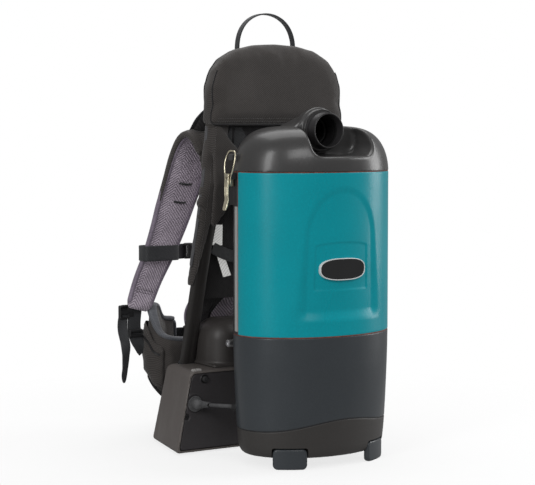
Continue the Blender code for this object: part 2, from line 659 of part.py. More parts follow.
def cable_boot():
    """Ball-shaped strain relief on the box cover, with a short spout towards the canister."""
    x, z = BOOT_AT
    face = BOX_FRONT[0][1] + COVER_INSET + (z - BOX_LOW_Z) * math.tan(BOX_LEAN)
    flange = rod((x, face - 0.0006, z), (x, face - 0.0035, z), 0.0125, sides=24)
    ball = bmesh.new()
    bmesh.ops.create_uvsphere(ball, u_segments=20, v_segments=12, radius=0.0088,
                              matrix=Matrix.Translation((x, face - 0.0100, z)))
    fuse(flange, from_bmesh(ball))
    spout = rod((x + 0.004, face - 0.0115, z), (-0.1215, 0.1068, 0.0785), 0.0062, 0.0042, sides=16)
    return fuse(flange, spout)


def build_carrier(parts):
    """What holds the canister and the harness to the power box."""
    rear_dome = block((-0.086, 0.142, BOX_TOP_Z + GAP - 0.045), (0.086, 0.2285, 0.205), 0.032, 5)
    cut(rear_dome, block((-0.2, 0.1, 0.0), (0.2, 0.3, BOX_TOP_Z + GAP)))
    room = block((-0.080, 0.148, 0.080), (0.080, 0.2225, 0.199), 0.028, 4)
    cut(rear_dome, room)
    for side, _ in SIDES:
        cut(rear_dome, stay(side, 0.0012))
    parts.add("rear_dome", rear_dome, "dark_plastic")

    bracket = block((-0.058, 0.070, 0.146), (0.058, 0.1415, 0.194), 0.006, 2)
    cut(bracket, oval_core(GAP, 0.10, 0.26))
    parts.add("canister_bracket", bracket, "dark_plastic")
    for side, word in SIDES:
        head = rod((side * (0.058 + GAP), 0.122, 0.171), (side * 0.079, 0.122, 0.171), 0.0062, sides=16)
        parts.add("clamp_bolt_" + word, head, "steel")


def stay(side, grow):
    points = [Vector((side * x, y, z)) for x, y, z in STAY_PATH]
    stations = []
    for i, point in enumerate(points):
        along = points[min(i + 1, len(points) - 1)] - points[max(i - 1, 0)]
        wide = Vector((1, 0, 0))
        thick = along.cross(wide).normalized()
        stations.append((point, wide * (STAY_HALF + grow), thick * (STAY_THICK + grow)))
    return swept(stations, SOFT)


def stay_y(z):
    """Y of the stays' middle line at a height."""
    for low, high in zip(STAY_PATH, STAY_PATH[1:]):
        if z <= high[2]:
            share = (z - low[2]) / (high[2] - low[2])
            return low[1] + share * (high[1] - low[1])
    return STAY_PATH[-1][1]


def build_frame_and_back(parts):
    for side, word in SIDES:
        parts.add("stay_" + word, stay(side, 0.0), "dark_plastic")

    sleeve = back_sleeve(-1)
    fuse(sleeve, back_sleeve(1))
    yoke_outline = [(-0.118, 0.405), (-0.060, 0.405), (-0.040, 0.412), (0.040, 0.412), (0.060, 0.405),
                    (0.118, 0.405), (0.124, 0.508), (0.092, 0.508), (0.050, 0.462), (-0.050, 0.462),
                    (-0.092, 0.508), (-0.124, 0.508)]
    fuse(sleeve, slab(yoke_outline, 0.1020, 0.1085))
    parts.add("back_sleeve", sleeve, "pack_fabric")

    mesh_low, mesh_high = 0.235, 0.470
    back = 0.0100
    stations = []
    for i in range(5):
        z = mesh_low + (mesh_high - mesh_low) * i / 4
        stations.append(((0, stay_y(z) + back + 0.004, z), (0.084, 0, 0), (0, 0.0015, 0)))
    parts.add("mesh_panel", swept(stations, FLAT), "light_mesh")
    stations = [((0, 0.2450, 0.150), (0.072, 0, 0), (0, 0.0120, 0)),
                ((0, 0.2440, 0.205), (0.086, 0, 0), (0, 0.0130, 0))]
    for z, half in ((0.255, 0.086), (0.330, 0.078), (0.410, 0.076), (0.465, 0.052)):
        stations.append(((0, stay_y(z) + back + 0.0195, z), (half, 0, 0), (0, 0.0130, 0)))
    parts.add("back_pad", swept(stations, SOFT), "strap_mesh")


def back_sleeve(side):
    """Fabric tube drawn over one stay; it widens towards the shoulders."""
    wide = ((0.240, 0.1025, 0.0165), (0.300, 0.1055, 0.0180), (0.355, 0.1040, 0.0215),
            (0.405, 0.0975, 0.0305), (0.450, 0.0970, 0.0330), (0.508, 0.1000, 0.0300))
    stations = []
    for z, x, half in wide:
        stations.append(((side * x, stay_y(z), z), (half, 0, 0), (0, 0.0110, 0)))
    tube = swept(stations, SOFT)
    return cut(tube, stay(side, GAP))


def build_head_pad(parts):
    outline = [(0.118, 0.5165), (0.1225, 0.545), (0.1215, 0.578), (0.115, 0.600), (0.100, 0.6185),
               (0.075, 0.6330), (0.040, 0.6415), (0.0, 0.6445)]
    mirrored = [(-x, z) for x, z in reversed(outline[:-1])]
    pad = slab(outline + mirrored, PAD_Y - PAD_HALF_Y, PAD_Y + PAD_HALF_Y)
    bevel = pad.modifiers.new("edge", "BEVEL")
    bevel.width = 0.010
    bevel.segments = 2
    bevel.limit_method = "ANGLE"
    bevel.angle_limit = math.radians(50)
    bake(pad)
    parts.add("head_pad", pad, "pack_fabric")

    loop = []
    for i in range(13):
        angle = math.pi * i / 12
        height = 0.632 + 0.0615 * math.sin(angle) ** 0.8
        loop.append((-0.0555 * math.cos(angle), PAD_Y + PAD_HALF_Y + 0.0082, height))
    strap = ribbon(loop, (0, 1, 0), 0.0078, WEB_THICK)
    parts.add("carry_loop", strap, "webbing")


def shoulder_stations(side):
    """Middle line of a shoulder strap, over the shoulder and down the chest, with its half width."""
    line = [(0.088, 0.1405, 0.476, 0.030), (0.092, 0.1500, 0.496, 0.033), (0.094, 0.1680, 0.503, 0.034),
            (0.096, 0.1880, 0.493, 0.035), (0.099, 0.2050, 0.466, 0.036), (0.103, 0.2200, 0.430, 0.0355),
            (0.108, 0.2370, 0.390, 0.034), (0.113, 0.2550, 0.348, 0.031), (0.121, 0.2740, 0.303, 0.0275),
            (0.133, 0.2900, 0.260, 0.0245), (0.1450, 0.2985, 0.218, 0.0215)]
    return [(Vector((side * x, y, z)), half) for x, y, z, half in line]


def build_straps(parts):
    for side, word in SIDES:
        line = shoulder_stations(side)
        stations = []
        for i, (point, half) in enumerate(line):
            along = line[min(i + 1, len(line) - 1)][0] - line[max(i - 1, 0)][0]
            wide = Vector((1, 0, 0)) - along * (along.x / along.length_squared)
            wide = wide.normalized()
            stations.append((point, wide * half, along.cross(wide).normalized() * 0.0060))
        parts.add("shoulder_strap_" + word, swept(stations, SOFT), "strap_mesh")

        path = [(side * 0.112, 0.1308, 0.566), (side * 0.110, 0.1420, 0.545), (side * 0.104, 0.1660, 0.5125)]
        parts.add("load_lifter_" + word, ribbon(path, (1, 0, 0), 0.0125, WEB_THICK), "webbing")
        parts.add("sternum_strap_" + word, sternum_half(side), "webbing")
    buckle = block((-0.0680, 0.2790, 0.2930), (-0.0160, 0.2890, 0.3210), 0.003, 2)
    parts.add("sternum_buckle", buckle, "dark_plastic")


def sternum_half(side):
    """A webbing loop round one shoulder strap with a tail to the buckle."""
    x, y, z = side * 0.1195, 0.2705, 0.3070
    outer = block((x - 0.0345, y - 0.0135, z - 0.0125), (x + 0.0345, y + 0.0185, z + 0.0125), 0.003, 2)
    cut(outer, block((x - 0.0320, y - 0.0110, z - 0.02), (x + 0.0320, y + 0.0160, z + 0.02)))
    end = -0.0685 if side < 0 else -0.0155
    xs = sorted((end, x - side * 0.0330))
    tail = block((xs[0], 0.2828, z - 0.0125), (xs[1], 0.2852, z + 0.0125))
    return fuse(outer, tail)


def build_belt(parts):
    """Padded hip belt: a back and two wings that curve forward, with front webbing and a buckle."""
    half = [(0.000, 0.2745, 0.062, 0.160), (0.060, 0.2745, 0.060, 0.160), (0.098, 0.2775, 0.062, 0.164),
            (0.1135, 0.2880, 0.078, 0.178), (0.1165, 0.3050, 0.098, 0.212), (0.101, 0.3240, 0.106, 0.214),
            (0.080, 0.3430, 0.110, 0.192), (0.050, 0.3520, 0.116, 0.186)]
    line = [(-x, y, low, high) for x, y, low, high in reversed(half)] + half[1:]
    stations = []
    for i, (x, y, low, high) in enumerate(line):
        before, after = line[max(i - 1, 0)], line[min(i + 1, len(line) - 1)]
        along = Vector((after[0] - before[0], after[1] - before[1], 0)).normalized()
        out = along.cross(Vector((0, 0, 1)))
        stations.append(((x, y, (low + high) / 2), (0, 0, (high - low) / 2), out * 0.0075))
    parts.add("hip_belt", swept(stations, SOFT), "pack_fabric")

    buckle = block((-0.0300, 0.3460, 0.127), (0.0300, 0.3600, 0.173), 0.004, 2)
    fuse(buckle, block((-0.0495, 0.3505, 0.131), (0.0495, 0.3530, 0.169)))
    parts.add("belt_closure", buckle, "dark_plastic")


def build_lower_straps(parts):
    """Webbing at the foot of each shoulder strap: an anchor to the belt, a ladder lock and its free tail."""
    for side, word in SIDES:
        anchor = [(side * 0.1460, 0.3075, 0.2100), (side * 0.1480, 0.3075, 0.1850),
                  (side * 0.1450, 0.3065, 0.1650), (side * 0.1370, 0.3050, 0.1520)]
        webbing = ribbon(anchor, (1, 0, 0), 0.0120, WEB_THICK)
        low, high = ordered(side, (0.1580, 0.3050, 0.1970), (0.1750, 0.3120, 0.2190))
        lock = block(low, high, 0.002, 1)
        fuse(lock, block(*ordered(side, (0.1500, 0.3064, 0.2000), (0.1600, 0.3086, 0.2080))))
        tail = [(side * 0.1665, 0.3085, 0.2000), (side * 0.1675, 0.3090, 0.1800),
                (side * 0.1640, 0.3080, 0.1500), (side * 0.1655, 0.3070, 0.1200),
                (side * 0.1675, 0.3060, 0.0920)]
        fuse(webbing, lock, ribbon(tail, (1, 0, 0), 0.0080, WEB_THICK))
        parts.add("strap_tail_" + word, webbing, "webbing")


def main():
    clear_scene()
    parts = Assembly()
    build_canister(parts)
    build_lower_body(parts)
    build_cap(parts)
    build_dust_path(parts)
    build_motor(parts)
    build_latches(parts)
    build_power_box(parts)
    build_carrier(parts)
    build_frame_and_back(parts)
    build_head_pad(parts)
    build_straps(parts)
    build_lower_straps(parts)
    build_belt(parts)


main()
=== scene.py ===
import math

import bmesh
import bpy
import numpy as np
from mathutils import Matrix, Vector


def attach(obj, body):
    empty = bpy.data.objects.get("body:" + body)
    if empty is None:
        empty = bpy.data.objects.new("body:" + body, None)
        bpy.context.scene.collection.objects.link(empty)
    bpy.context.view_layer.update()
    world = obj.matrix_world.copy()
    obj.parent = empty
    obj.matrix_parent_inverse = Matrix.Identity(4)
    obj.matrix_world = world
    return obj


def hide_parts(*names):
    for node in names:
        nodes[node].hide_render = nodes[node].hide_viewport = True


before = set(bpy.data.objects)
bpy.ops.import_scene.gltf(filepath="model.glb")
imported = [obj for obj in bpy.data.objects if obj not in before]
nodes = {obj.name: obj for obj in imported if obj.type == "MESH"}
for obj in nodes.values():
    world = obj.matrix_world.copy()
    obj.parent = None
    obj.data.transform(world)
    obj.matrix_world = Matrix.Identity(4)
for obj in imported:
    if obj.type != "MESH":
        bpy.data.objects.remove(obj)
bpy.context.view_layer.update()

SHIFT = np.array((0.0, -0.13375, 0.0))      # from the canister's axis to the row frame
HALF_WIDTH, HALF_DEPTH = 0.13, 0.09         # the canister's oval
OVAL = HALF_DEPTH / HALF_WIDTH
SHELL_LOW, SHELL_HIGH = 0.2003, 0.4457
PORT_Z = 0.508
SCREW_X, SCREW_Z = 0.151, 0.059             # the power box's cover screws
FOOT_DRAFT = BOX_DRAFT = 0.00005
SIDES = ((-1, "left"), (1, "right"))


# ---------------------------------------------------------------- materials

class Shader:
    """A Principled material whose colour, roughness and bump come from procedural nodes."""

    def __init__(self, name, roughness=0.5, metallic=0.0, **sockets):
        self.material = bpy.data.materials.new(name)
        self.material.use_nodes = True
        self.tree = self.material.node_tree
        self.bsdf = self.tree.nodes["Principled BSDF"]
        self.bsdf.inputs["Roughness"].default_value = roughness
        self.bsdf.inputs["Metallic"].default_value = metallic
        for socket, value in sockets.items():
            self.bsdf.inputs[socket.replace("_", " ")].default_value = value
        self.position = self.add("ShaderNodeTexCoord").outputs["Object"]

    def add(self, kind, **settings):
        node = self.tree.nodes.new(kind)
        for key, value in settings.items():
            setattr(node, key, value)
        return node

    def put(self, socket, value):
        if isinstance(value, bpy.types.NodeSocket):
            self.tree.links.new(value, socket)
        else:
            socket.default_value = value

    def attribute(self, name):
        return self.add("ShaderNodeAttribute", attribute_name=name).outputs["Vector"]

    def math(self, operation, a, b=0.0, c=0.0):
        node = self.add("ShaderNodeMath", operation=operation)
        for socket, value in zip(node.inputs, (a, b, c)):
            self.put(socket, value)
        return node.outputs[0]

    def noise(self, scale, detail=3.0, vector=None, stretch=None):
        vector = vector or self.position
        if stretch:
            node = self.add("ShaderNodeVectorMath", operation="MULTIPLY")
            self.put(node.inputs[0], vector)
            node.inputs[1].default_value = stretch
            vector = node.outputs[0]
        node = self.add("ShaderNodeTexNoise")
        self.put(node.inputs["Vector"], vector)
        node.inputs["Scale"].default_value = scale
        node.inputs["Detail"].default_value = detail
        return node.outputs["Fac"]

    def stripes(self, direction, pitch, vector=None):
        """A wave from 0 to 1 that repeats every pitch metres along direction."""
        node = self.add("ShaderNodeVectorMath", operation="DOT_PRODUCT")
        self.put(node.inputs[0], vector or self.position)
        node.inputs[1].default_value = Vector(direction).normalized() * (2 * math.pi / pitch)
        return self.math("MULTIPLY_ADD", self.math("SINE", node.outputs["Value"]), 0.5, 0.5)

    def ramp(self, factor, low, high, start=0.0, end=1.0):
        node = self.add("ShaderNodeMapRange")
        for socket, value in zip(node.inputs, (factor, start, end, low, high)):
            self.put(socket, value)
        return node.outputs[0]

    def mix(self, factor, a, b):
        node = self.add("ShaderNodeMix", data_type="RGBA")
        self.put(node.inputs[0], factor)
        self.put(node.inputs[6], (*a, 1.0) if isinstance(a, tuple) else a)
        self.put(node.inputs[7], (*b, 1.0) if isinstance(b, tuple) else b)
        return node.outputs[2]

    def colour(self, value):
        self.put(self.bsdf.inputs["Base Color"], value)

    def roughness(self, value):
        self.put(self.bsdf.inputs["Roughness"], value)

    def bump(self, height, distance, strength=1.0):
        node = self.add("ShaderNodeBump")
        node.inputs["Strength"].default_value = strength
        node.inputs["Distance"].default_value = distance
        self.put(node.inputs["Height"], height)
        earlier = self.bsdf.inputs["Normal"].links
        if earlier:
            self.put(node.inputs["Normal"], earlier[0].from_socket)
        self.put(self.bsdf.inputs["Normal"], node.outputs[0])


def tint(colour, factor):
    return tuple(min(1.0, c * factor) for c in colour)


def plastic(name, colour, rough, grain=0.00004, grain_scale=1400.0, spread=0.1, coat=0.0, wave=0.0, gloss=0.4):
    """Moulded plastic: fine mould grain, faint flow marks, handling smudges and dust in the colour."""
    s = Shader(name, rough, Coat_Weight=coat, Coat_Roughness=0.12, Specular_IOR_Level=gloss)
    cloud = s.noise(9.0, 4.0)
    fleck = s.noise(420.0, 2.0)
    patchy = s.mix(s.ramp(cloud, 0.0, 1.0, 0.3, 0.7), tint(colour, 1 - spread), tint(colour, 1 + spread))
    s.colour(s.mix(s.ramp(fleck, 0.0, 0.3, 0.45, 0.75), patchy, tint(colour, 1.35)))
    smudge = s.noise(23.0, 5.0, stretch=(1.0, 1.0, 0.45))
    s.roughness(s.ramp(smudge, rough * 0.82, rough * 1.22, 0.3, 0.7))
    s.bump(s.noise(grain_scale, 2.0), grain)
    if wave:
        s.bump(s.noise(38.0, 1.0), wave)
    return s.material


def metal(name, colour, rough, brush=(1.0, 1.0, 0.06)):
    """Plated or machined metal: a brushed grain, cloudy plating and small pits."""
    s = Shader(name, rough, 1.0)
    cloud = s.noise(60.0, 4.0)
    s.colour(s.mix(s.ramp(cloud, 0.0, 1.0, 0.35, 0.65), tint(colour, 0.8), tint(colour, 1.1)))
    streak = s.noise(2600.0, 2.0, stretch=brush)
    s.roughness(s.ramp(streak, rough * 0.7, rough * 1.5))
    s.bump(streak, 0.00002)
    s.bump(s.noise(900.0, 2.0), 0.00002)
    return s.material


def rubber(name, colour):
    s = Shader(name, 0.62, Specular_IOR_Level=0.35)
    s.colour(s.mix(s.ramp(s.noise(70.0, 5.0), 0.0, 1.0, 0.4, 0.75), colour, tint(colour, 1.9)))
    s.roughness(s.ramp(s.noise(40.0, 3.0), 0.52, 0.74, 0.3, 0.7))
    s.bump(s.noise(1500.0, 3.0), 0.00006)
    return s.material


def twill(name, colour, pitch=0.0021, light=1.75, sheen=0.25):
    """Pack cloth: diagonal twill lines crossed by single threads, with dust and soft wear; the weave colour is
    partly the twill pattern and partly a painted highlight on the thread tops with painted shade between them.
    """
    s = Shader(name, 0.88, Sheen_Weight=sheen, Sheen_Roughness=0.45, Specular_IOR_Level=0.25)
    line = s.stripes((1.0, 0.6, 1.0), pitch)
    thread = s.stripes((1.0, 0.6, -1.0), pitch * 0.46)
    weave = s.math("MULTIPLY_ADD", line, 0.65, s.math("MULTIPLY", thread, 0.35))
    wear = s.noise(14.0, 5.0)
    # Weave colour from 0.62 to light times the cloth colour: the twill pattern, with a painted highlight on the
    # threads and painted shade in the grooves.
    shade = s.mix(weave, tint(colour, 0.62), tint(colour, light))
    s.colour(s.mix(s.ramp(wear, 0.0, 0.45, 0.42, 0.78), shade, tint(colour, 2.1)))
    s.roughness(s.ramp(weave, 0.95, 0.78))
    s.bump(weave, 0.00035, 0.8)
    s.bump(s.noise(60.0, 4.0), 0.0012, 0.25)
    return s.material


def spacer_mesh(name, dark, light, pitch=0.0042, painted_glow=0.0):
    """Ribbed spacer mesh over foam: diagonal ribs with rows of small holes between them; a glow above zero makes it
    shine in its own colour, which is painted light.
    """
    s = Shader(name, 0.93, Sheen_Weight=0.35, Sheen_Roughness=0.5, Specular_IOR_Level=0.2, Emission_Strength=painted_glow)
    lay = s.attribute("lay")
    split = s.add("ShaderNodeSeparateXYZ")
    s.put(split.inputs[0], lay)
    folded = s.add("ShaderNodeCombineXYZ")
    s.put(folded.inputs[0], s.math("ABSOLUTE", s.math("ADD", split.outputs[0], 0.013)))
    s.put(folded.inputs[1], split.outputs[1])
    rib = s.stripes((-1.0, 1.05, 0.0), pitch, folded.outputs[0])
    hole = s.stripes((1.0, 1.15, 0.0), pitch * 0.42, folded.outputs[0])
    knit = s.math("MULTIPLY", s.math("POWER", rib, 0.7), s.math("MULTIPLY_ADD", hole, 0.45, 0.55))
    worn = s.noise(26.0, 4.0)
    base = s.mix(knit, dark, light)
    # Emission in the mesh colour: with a glow above zero the mesh glows though it is no lamp, which is painted
    # light.
    s.put(s.bsdf.inputs["Emission Color"], base)
    s.colour(s.mix(s.ramp(worn, 0.0, 0.3, 0.4, 0.8), base, tint(light, 1.25)))
    s.bump(knit, 0.0011, 0.9)
    s.bump(s.noise(900.0, 2.0), 0.0002, 0.5)
    return s.material


def webbing_cloth(name, colour, across=0.0015, along=0.0024, light=1.9):
    """Woven nylon strap: ribs along its length crossed by the weft."""
    s = Shader(name, 0.62, Sheen_Weight=0.3, Sheen_Roughness=0.35, Specular_IOR_Level=0.4)
    lay = s.attribute("lay")
    rib = s.stripes((1.0, 0.0, 0.0), across, lay)
    weft = s.stripes((0.35, 1.0, 0.0), along, lay)
    weave = s.math("MULTIPLY_ADD", rib, 0.5, s.math("MULTIPLY", weft, 0.5))
    shade = s.mix(weave, tint(colour, 0.6), tint(colour, light))
    s.colour(s.mix(s.ramp(s.noise(45.0, 4.0), 0.0, 0.35, 0.45, 0.8), shade, tint(colour, 2.4)))
    s.roughness(s.ramp(weave, 0.75, 0.5))
    s.bump(weave, 0.00035, 0.9)
    return s.material


def media(name, colour):
    """Filter paper and foam: fibres and soft stains."""
    s = Shader(name, 0.95, Specular_IOR_Level=0.1)
    s.colour(s.mix(s.ramp(s.noise(18.0, 5.0), 0.0, 1.0, 0.35, 0.75), tint(colour, 0.75), tint(colour, 1.1)))
    s.bump(s.noise(700.0, 4.0), 0.0004, 0.7)
    return s.material


TEAL = plastic("teal_moulding", (0.0, 0.3, 0.36), 0.3, 0.00001, 700.0, 0.05, wave=0.00006, gloss=0.25)
CAP = plastic("cap_moulding", (0.044, 0.043, 0.043), 0.3, 0.00003, 1200.0, 0.07, coat=0.15)
SLATE = plastic("slate_moulding", (0.036, 0.042, 0.048), 0.36, 0.00004, 1200.0, 0.07, coat=0.1)
BASE = plastic("base_moulding", (0.039, 0.036, 0.034), 0.44, 0.00005, 1300.0, 0.08)
DARK = plastic("dark_moulding", (0.02, 0.019, 0.02), 0.42, 0.00005, 1500.0, 0.1)
BOX = plastic("box_moulding", (0.104, 0.092, 0.086), 0.5, 0.00007, 1500.0, 0.08)
# The cover is a darker copy of the box plastic: painted shade for the box's front faces.
BOX_COVER_PAINTED_SHADE = plastic("box_cover_painted_shade", (0.034, 0.031, 0.033), 0.5, 0.00006, 1500.0, 0.12)
RAIL = plastic("rail_moulding", (0.36, 0.37, 0.36), 0.45, 0.00003, 1200.0, 0.08)
BADGE = plastic("badge_field", (0.012, 0.012, 0.013), 0.22, 0.00001, 900.0, 0.2, coat=0.4)
BADGE_RIM = plastic("badge_rim", (0.7, 0.71, 0.71), 0.3, 0.00001, 900.0, 0.05)
BUCKLE = plastic("buckle_acetal", (0.016, 0.016, 0.017), 0.38, 0.00003, 1800.0, 0.15)
ZINC = metal("zinc_plating", (0.84, 0.77, 0.58), 0.3)
STEEL = metal("bare_steel", (0.52, 0.52, 0.53), 0.34)
ALU = metal("pressed_aluminium", (0.66, 0.66, 0.67), 0.36, (1.0, 1.0, 1.0))
BLACK = plastic("duct_lining", (0.004, 0.004, 0.004), 0.7, 0.00005, 900.0, 0.2)
COPPER = metal("varnished_winding", (0.55, 0.24, 0.1), 0.4, (1.0, 1.0, 8.0))
RUBBER = rubber("black_rubber", (0.014, 0.014, 0.015))
SEAL = rubber("seal_rubber", (0.15, 0.046, 0.032))
STAY = plastic("stay_moulding", (0.026, 0.024, 0.023), 0.46, 0.00006, 1500.0, 0.1)
DOME = plastic("dome_moulding", (0.045, 0.041, 0.039), 0.44, 0.00006, 1300.0, 0.1)
CABLE = rubber("cable_sheath", (0.062, 0.062, 0.064))
MEDIA = media("filter_media", (0.6, 0.57, 0.5))
CLOTH = twill("pack_cloth", (0.04, 0.036, 0.034))
CLOTH_DARK = twill("lining_cloth", (0.016, 0.015, 0.016), light=1.5)
MESH = spacer_mesh("strap_mesh", (0.15, 0.12, 0.156), (0.72, 0.63, 0.73), 0.0038)
# The light mesh glows at 0.4: painted light that brightens it where it sits in shade.
MESH_LIGHT = spacer_mesh("light_mesh", (0.55, 0.55, 0.53), (1.0, 1.0, 0.98), 0.004, 0.4)
CLIP = plastic("clip_moulding", (0.3, 0.29, 0.28), 0.4)
BINDING = webbing_cloth("purple_binding", (0.215, 0.18, 0.23), light=1.3)
GREY_TAPE = webbing_cloth("grey_binding", (0.095, 0.1, 0.112), light=1.4)
GREY_DARK = webbing_cloth("dark_binding", (0.06, 0.06, 0.064), light=1.4)
WEB = webbing_cloth("black_webbing", (0.022, 0.023, 0.025))
THREAD = webbing_cloth("sewing_thread", (0.06, 0.057, 0.056), 0.0004, 0.0008)

CAD_LOOKS = {
    "rear_shell": DARK, "side_rail_left": RAIL, "side_rail_right": RAIL, "lid_seal": SEAL, "inlet_elbow": BLACK,
    "filter_bag": MEDIA, "motor_filter": MEDIA, "exhaust_filter": MEDIA, "fan_housing": ALU,
    "fan_impeller": ALU, "motor_rotor": COPPER, "motor_stator": STEEL, "motor_bearing_upper": STEEL,
    "motor_bearing_lower": STEEL, "motor_mount": RUBBER, "latch_base_left": DARK, "latch_base_right": DARK,
    "battery_pack": DARK, "cable_grommet": RUBBER, "canister_bracket": DARK,
}


# ---------------------------------------------------------------- mesh tools

def piece(name, verts, faces, material, **options):
    """A mesh object from points in the canister's frame, moved into the row frame."""
    verts = np.asarray(verts, float) + SHIFT
    mesh = bpy.data.meshes.new(name)
    mesh.from_pydata([tuple(v) for v in verts], [], [tuple(int(i) for i in f) for f in faces])
    mesh.update()
    return finish_piece(name, mesh, material, **options)


def finish_piece(name, mesh, material, body="main_body", replaces=None, slot=None, smooth=40.0):
    obj = bpy.data.objects.new(name, mesh)
    bpy.context.scene.collection.objects.link(obj)
    mesh.materials.clear()
    mesh.materials.append(material)
    shade(mesh, smooth)
    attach(obj, body)
    if replaces:
        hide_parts(replaces)
    return obj


def shade(mesh, angle):
    mesh.polygons.foreach_set("use_smooth", [True] * len(mesh.polygons))
    mesh.set_sharp_from_angle(angle=math.radians(angle))


def outward(mesh):
    bm = bmesh.new()
    bm.from_mesh(mesh)
    bmesh.ops.recalc_face_normals(bm, faces=bm.faces)
    bm.to_mesh(mesh)
    bm.free()


def grid_faces(rows, columns, wrap=False, offset=0, flip=False):
    faces = []
    last = columns if wrap else columns - 1
    for i in range(rows - 1):
        for j in range(last):
            k = (j + 1) % columns
            quad = (offset + i * columns + j, offset + i * columns + k,
                    offset + (i + 1) * columns + k, offset + (i + 1) * columns + j)
            faces.append(quad[::-1] if flip else quad)
    return faces


def surface(name, fn, low, high, step, material, **options):
    """The zero surface of fn, a distance in metres, found on a grid and then drawn onto it."""
    axes = [np.arange(a - step, b + 2 * step, step) for a, b in zip(low, high)]
    x, y, z = np.meshgrid(*axes, indexing="ij")
    value = fn(x, y, z)
    inside = value < 0
    shape = tuple(n - 1 for n in value.shape)
    corner = [(i, j, k) for i in (0, 1) for j in (0, 1) for k in (0, 1)]

    def window(array, c):
        return array[c[0]:c[0] + shape[0], c[1]:c[1] + shape[1], c[2]:c[2] + shape[2]]

    count = sum(window(inside, c).astype(np.int8) for c in corner)
    mixed = (count > 0) & (count < 8)
    total = np.zeros(mixed.shape + (3,))
    hits = np.zeros(mixed.shape)
    for a in corner:
        for axis in range(3):
            if a[axis] == 1:
                continue
            b = tuple(c + (1 if i == axis else 0) for i, c in enumerate(a))
            va, vb = window(value, a), window(value, b)
            crossing = (va < 0) != (vb < 0)
            share = np.where(crossing, va / np.where(crossing, va - vb, 1.0), 0.0)
            for i in range(3):
                total[..., i] += crossing * (a[i] + (share if i == axis else 0.0))
            hits += crossing
    index = -np.ones(mixed.shape, int)
    index[mixed] = np.arange(mixed.sum())
    cells = np.argwhere(mixed)
    points = cells + total[mixed] / hits[mixed][:, None]
    points = points * step + np.array([axis[0] for axis in axes])
    quads = []
    for axis in range(3):
        others = [i for i in range(3) if i != axis]
        sl = [slice(1, -1)] * 3
        sl[axis] = slice(0, -1)
        first = inside[tuple(sl)]
        sl[axis] = slice(1, None)
        second = inside[tuple(sl)]
        for flip, found in ((False, first & ~second), (True, ~first & second)):
            at = np.argwhere(found) + 1
            at[:, axis] -= 1
            ring = []
            for du, dv in ((-1, -1), (0, -1), (0, 0), (-1, 0)):
                c = at.copy()
                c[:, others[0]] += du
                c[:, others[1]] += dv
                ring.append(index[c[:, 0], c[:, 1], c[:, 2]])
            quad = np.stack(ring, 1)
            reverse = flip != (axis == 1)
            quads.append(quad[:, ::-1] if reverse else quad)
    faces = np.concatenate(quads)
    faces = faces[(faces >= 0).all(1)]
    for _ in range(3):
        h = step * 0.1
        f0 = fn(*points.T)
        slope = np.stack([(fn(*(points + h * np.eye(3)[i]).T) - f0) / h for i in range(3)], 1)
        move = f0[:, None] * slope / np.maximum((slope ** 2).sum(1), 0.2)[:, None]
        points = points - np.clip(move, -0.4 * step, 0.4 * step)
    return piece(name, points, faces, material, **options)


def smin(a, b, k):
    h = np.clip(0.5 + 0.5 * (b - a) / k, 0.0, 1.0)
    return b * (1 - h) + a * h - k * h * (1 - h)


def smax(a, b, k):
    return -smin(-a, -b, k)


def rounded_box(x, y, z, low, high, r):
    q = [np.abs(p - (a + b) / 2) - ((b - a) / 2 - r) for p, a, b in zip((x, y, z), low, high)]
    out = np.sqrt(sum(np.maximum(c, 0) ** 2 for c in q))
    return out + np.minimum(np.maximum(np.maximum(q[0], q[1]), q[2]), 0) - r


def oval_radius(x, y):
    return np.sqrt(x ** 2 + (y / OVAL) ** 2)


def oval_distance(x, y, radius):
    rho = np.maximum(oval_radius(x, y), 1e-6)
    slope = np.sqrt((x / rho) ** 2 + (y / (OVAL ** 2 * rho)) ** 2)
    return (rho - radius) / np.maximum(slope, 0.3)


def cylinder_y(x, y, z, cx, cz, radius, low, high):
    ring = np.sqrt((x - cx) ** 2 + (z - cz) ** 2) - radius
    return np.maximum(ring, np.maximum(low - y, y - high))


def line_distance(x, y, z, a, b, start=0.0):
    """The share of the way from a to b, from start to 1, that is nearest, and the distance to it."""
    a, ab = np.array(a), np.subtract(b, a)
    t = np.clip(((x - a[0]) * ab[0] + (y - a[1]) * ab[1] + (z - a[2]) * ab[2]) / (ab @ ab), start, 1.0)
    return t, np.sqrt((x - a[0] - t * ab[0]) ** 2 + (y - a[1] - t * ab[1]) ** 2 + (z - a[2] - t * ab[2]) ** 2)


def mirror(side, rows):
    return [(side * x, *rest) for x, *rest in rows]


def side_surface(name, fn, side, low, high, step, material, **options):
    """A surface given on the right side and drawn on the side asked for."""
    near, far = sorted((side * low[0], side * high[0]))
    return surface(name, lambda x, y, z: fn(side * x, y, z), (near, *low[1:]), (far, *high[1:]), step,
                   material, **options)


def spline(points, count):
    """Catmull-Rom through rows of numbers, count rows out, evenly spread by the first three columns."""
    p = np.asarray(points, float)
    ext = np.vstack([2 * p[0] - p[1], p, 2 * p[-1] - p[-2]])
    fine = []
    for i in range(1, len(ext) - 2):
        a, b, c, d = ext[i - 1:i + 3]
        for t in np.linspace(0, 1, 24, endpoint=False):
            fine.append(0.5 * (2 * b + (c - a) * t + (2 * a - 5 * b + 4 * c - d) * t ** 2
                               + (3 * b - a - 3 * c + d) * t ** 3))
    fine.append(p[-1])
    fine = np.array(fine)
    run = np.concatenate([[0], np.cumsum(np.linalg.norm(np.diff(fine[:, :3], axis=0), axis=1))])
    at = np.linspace(0, run[-1], count)
    return np.stack([np.interp(at, run, fine[:, i]) for i in range(p.shape[1])], 1), at


def unit(v):
    return v / np.maximum(np.linalg.norm(v, axis=-1, keepdims=True), 1e-9)


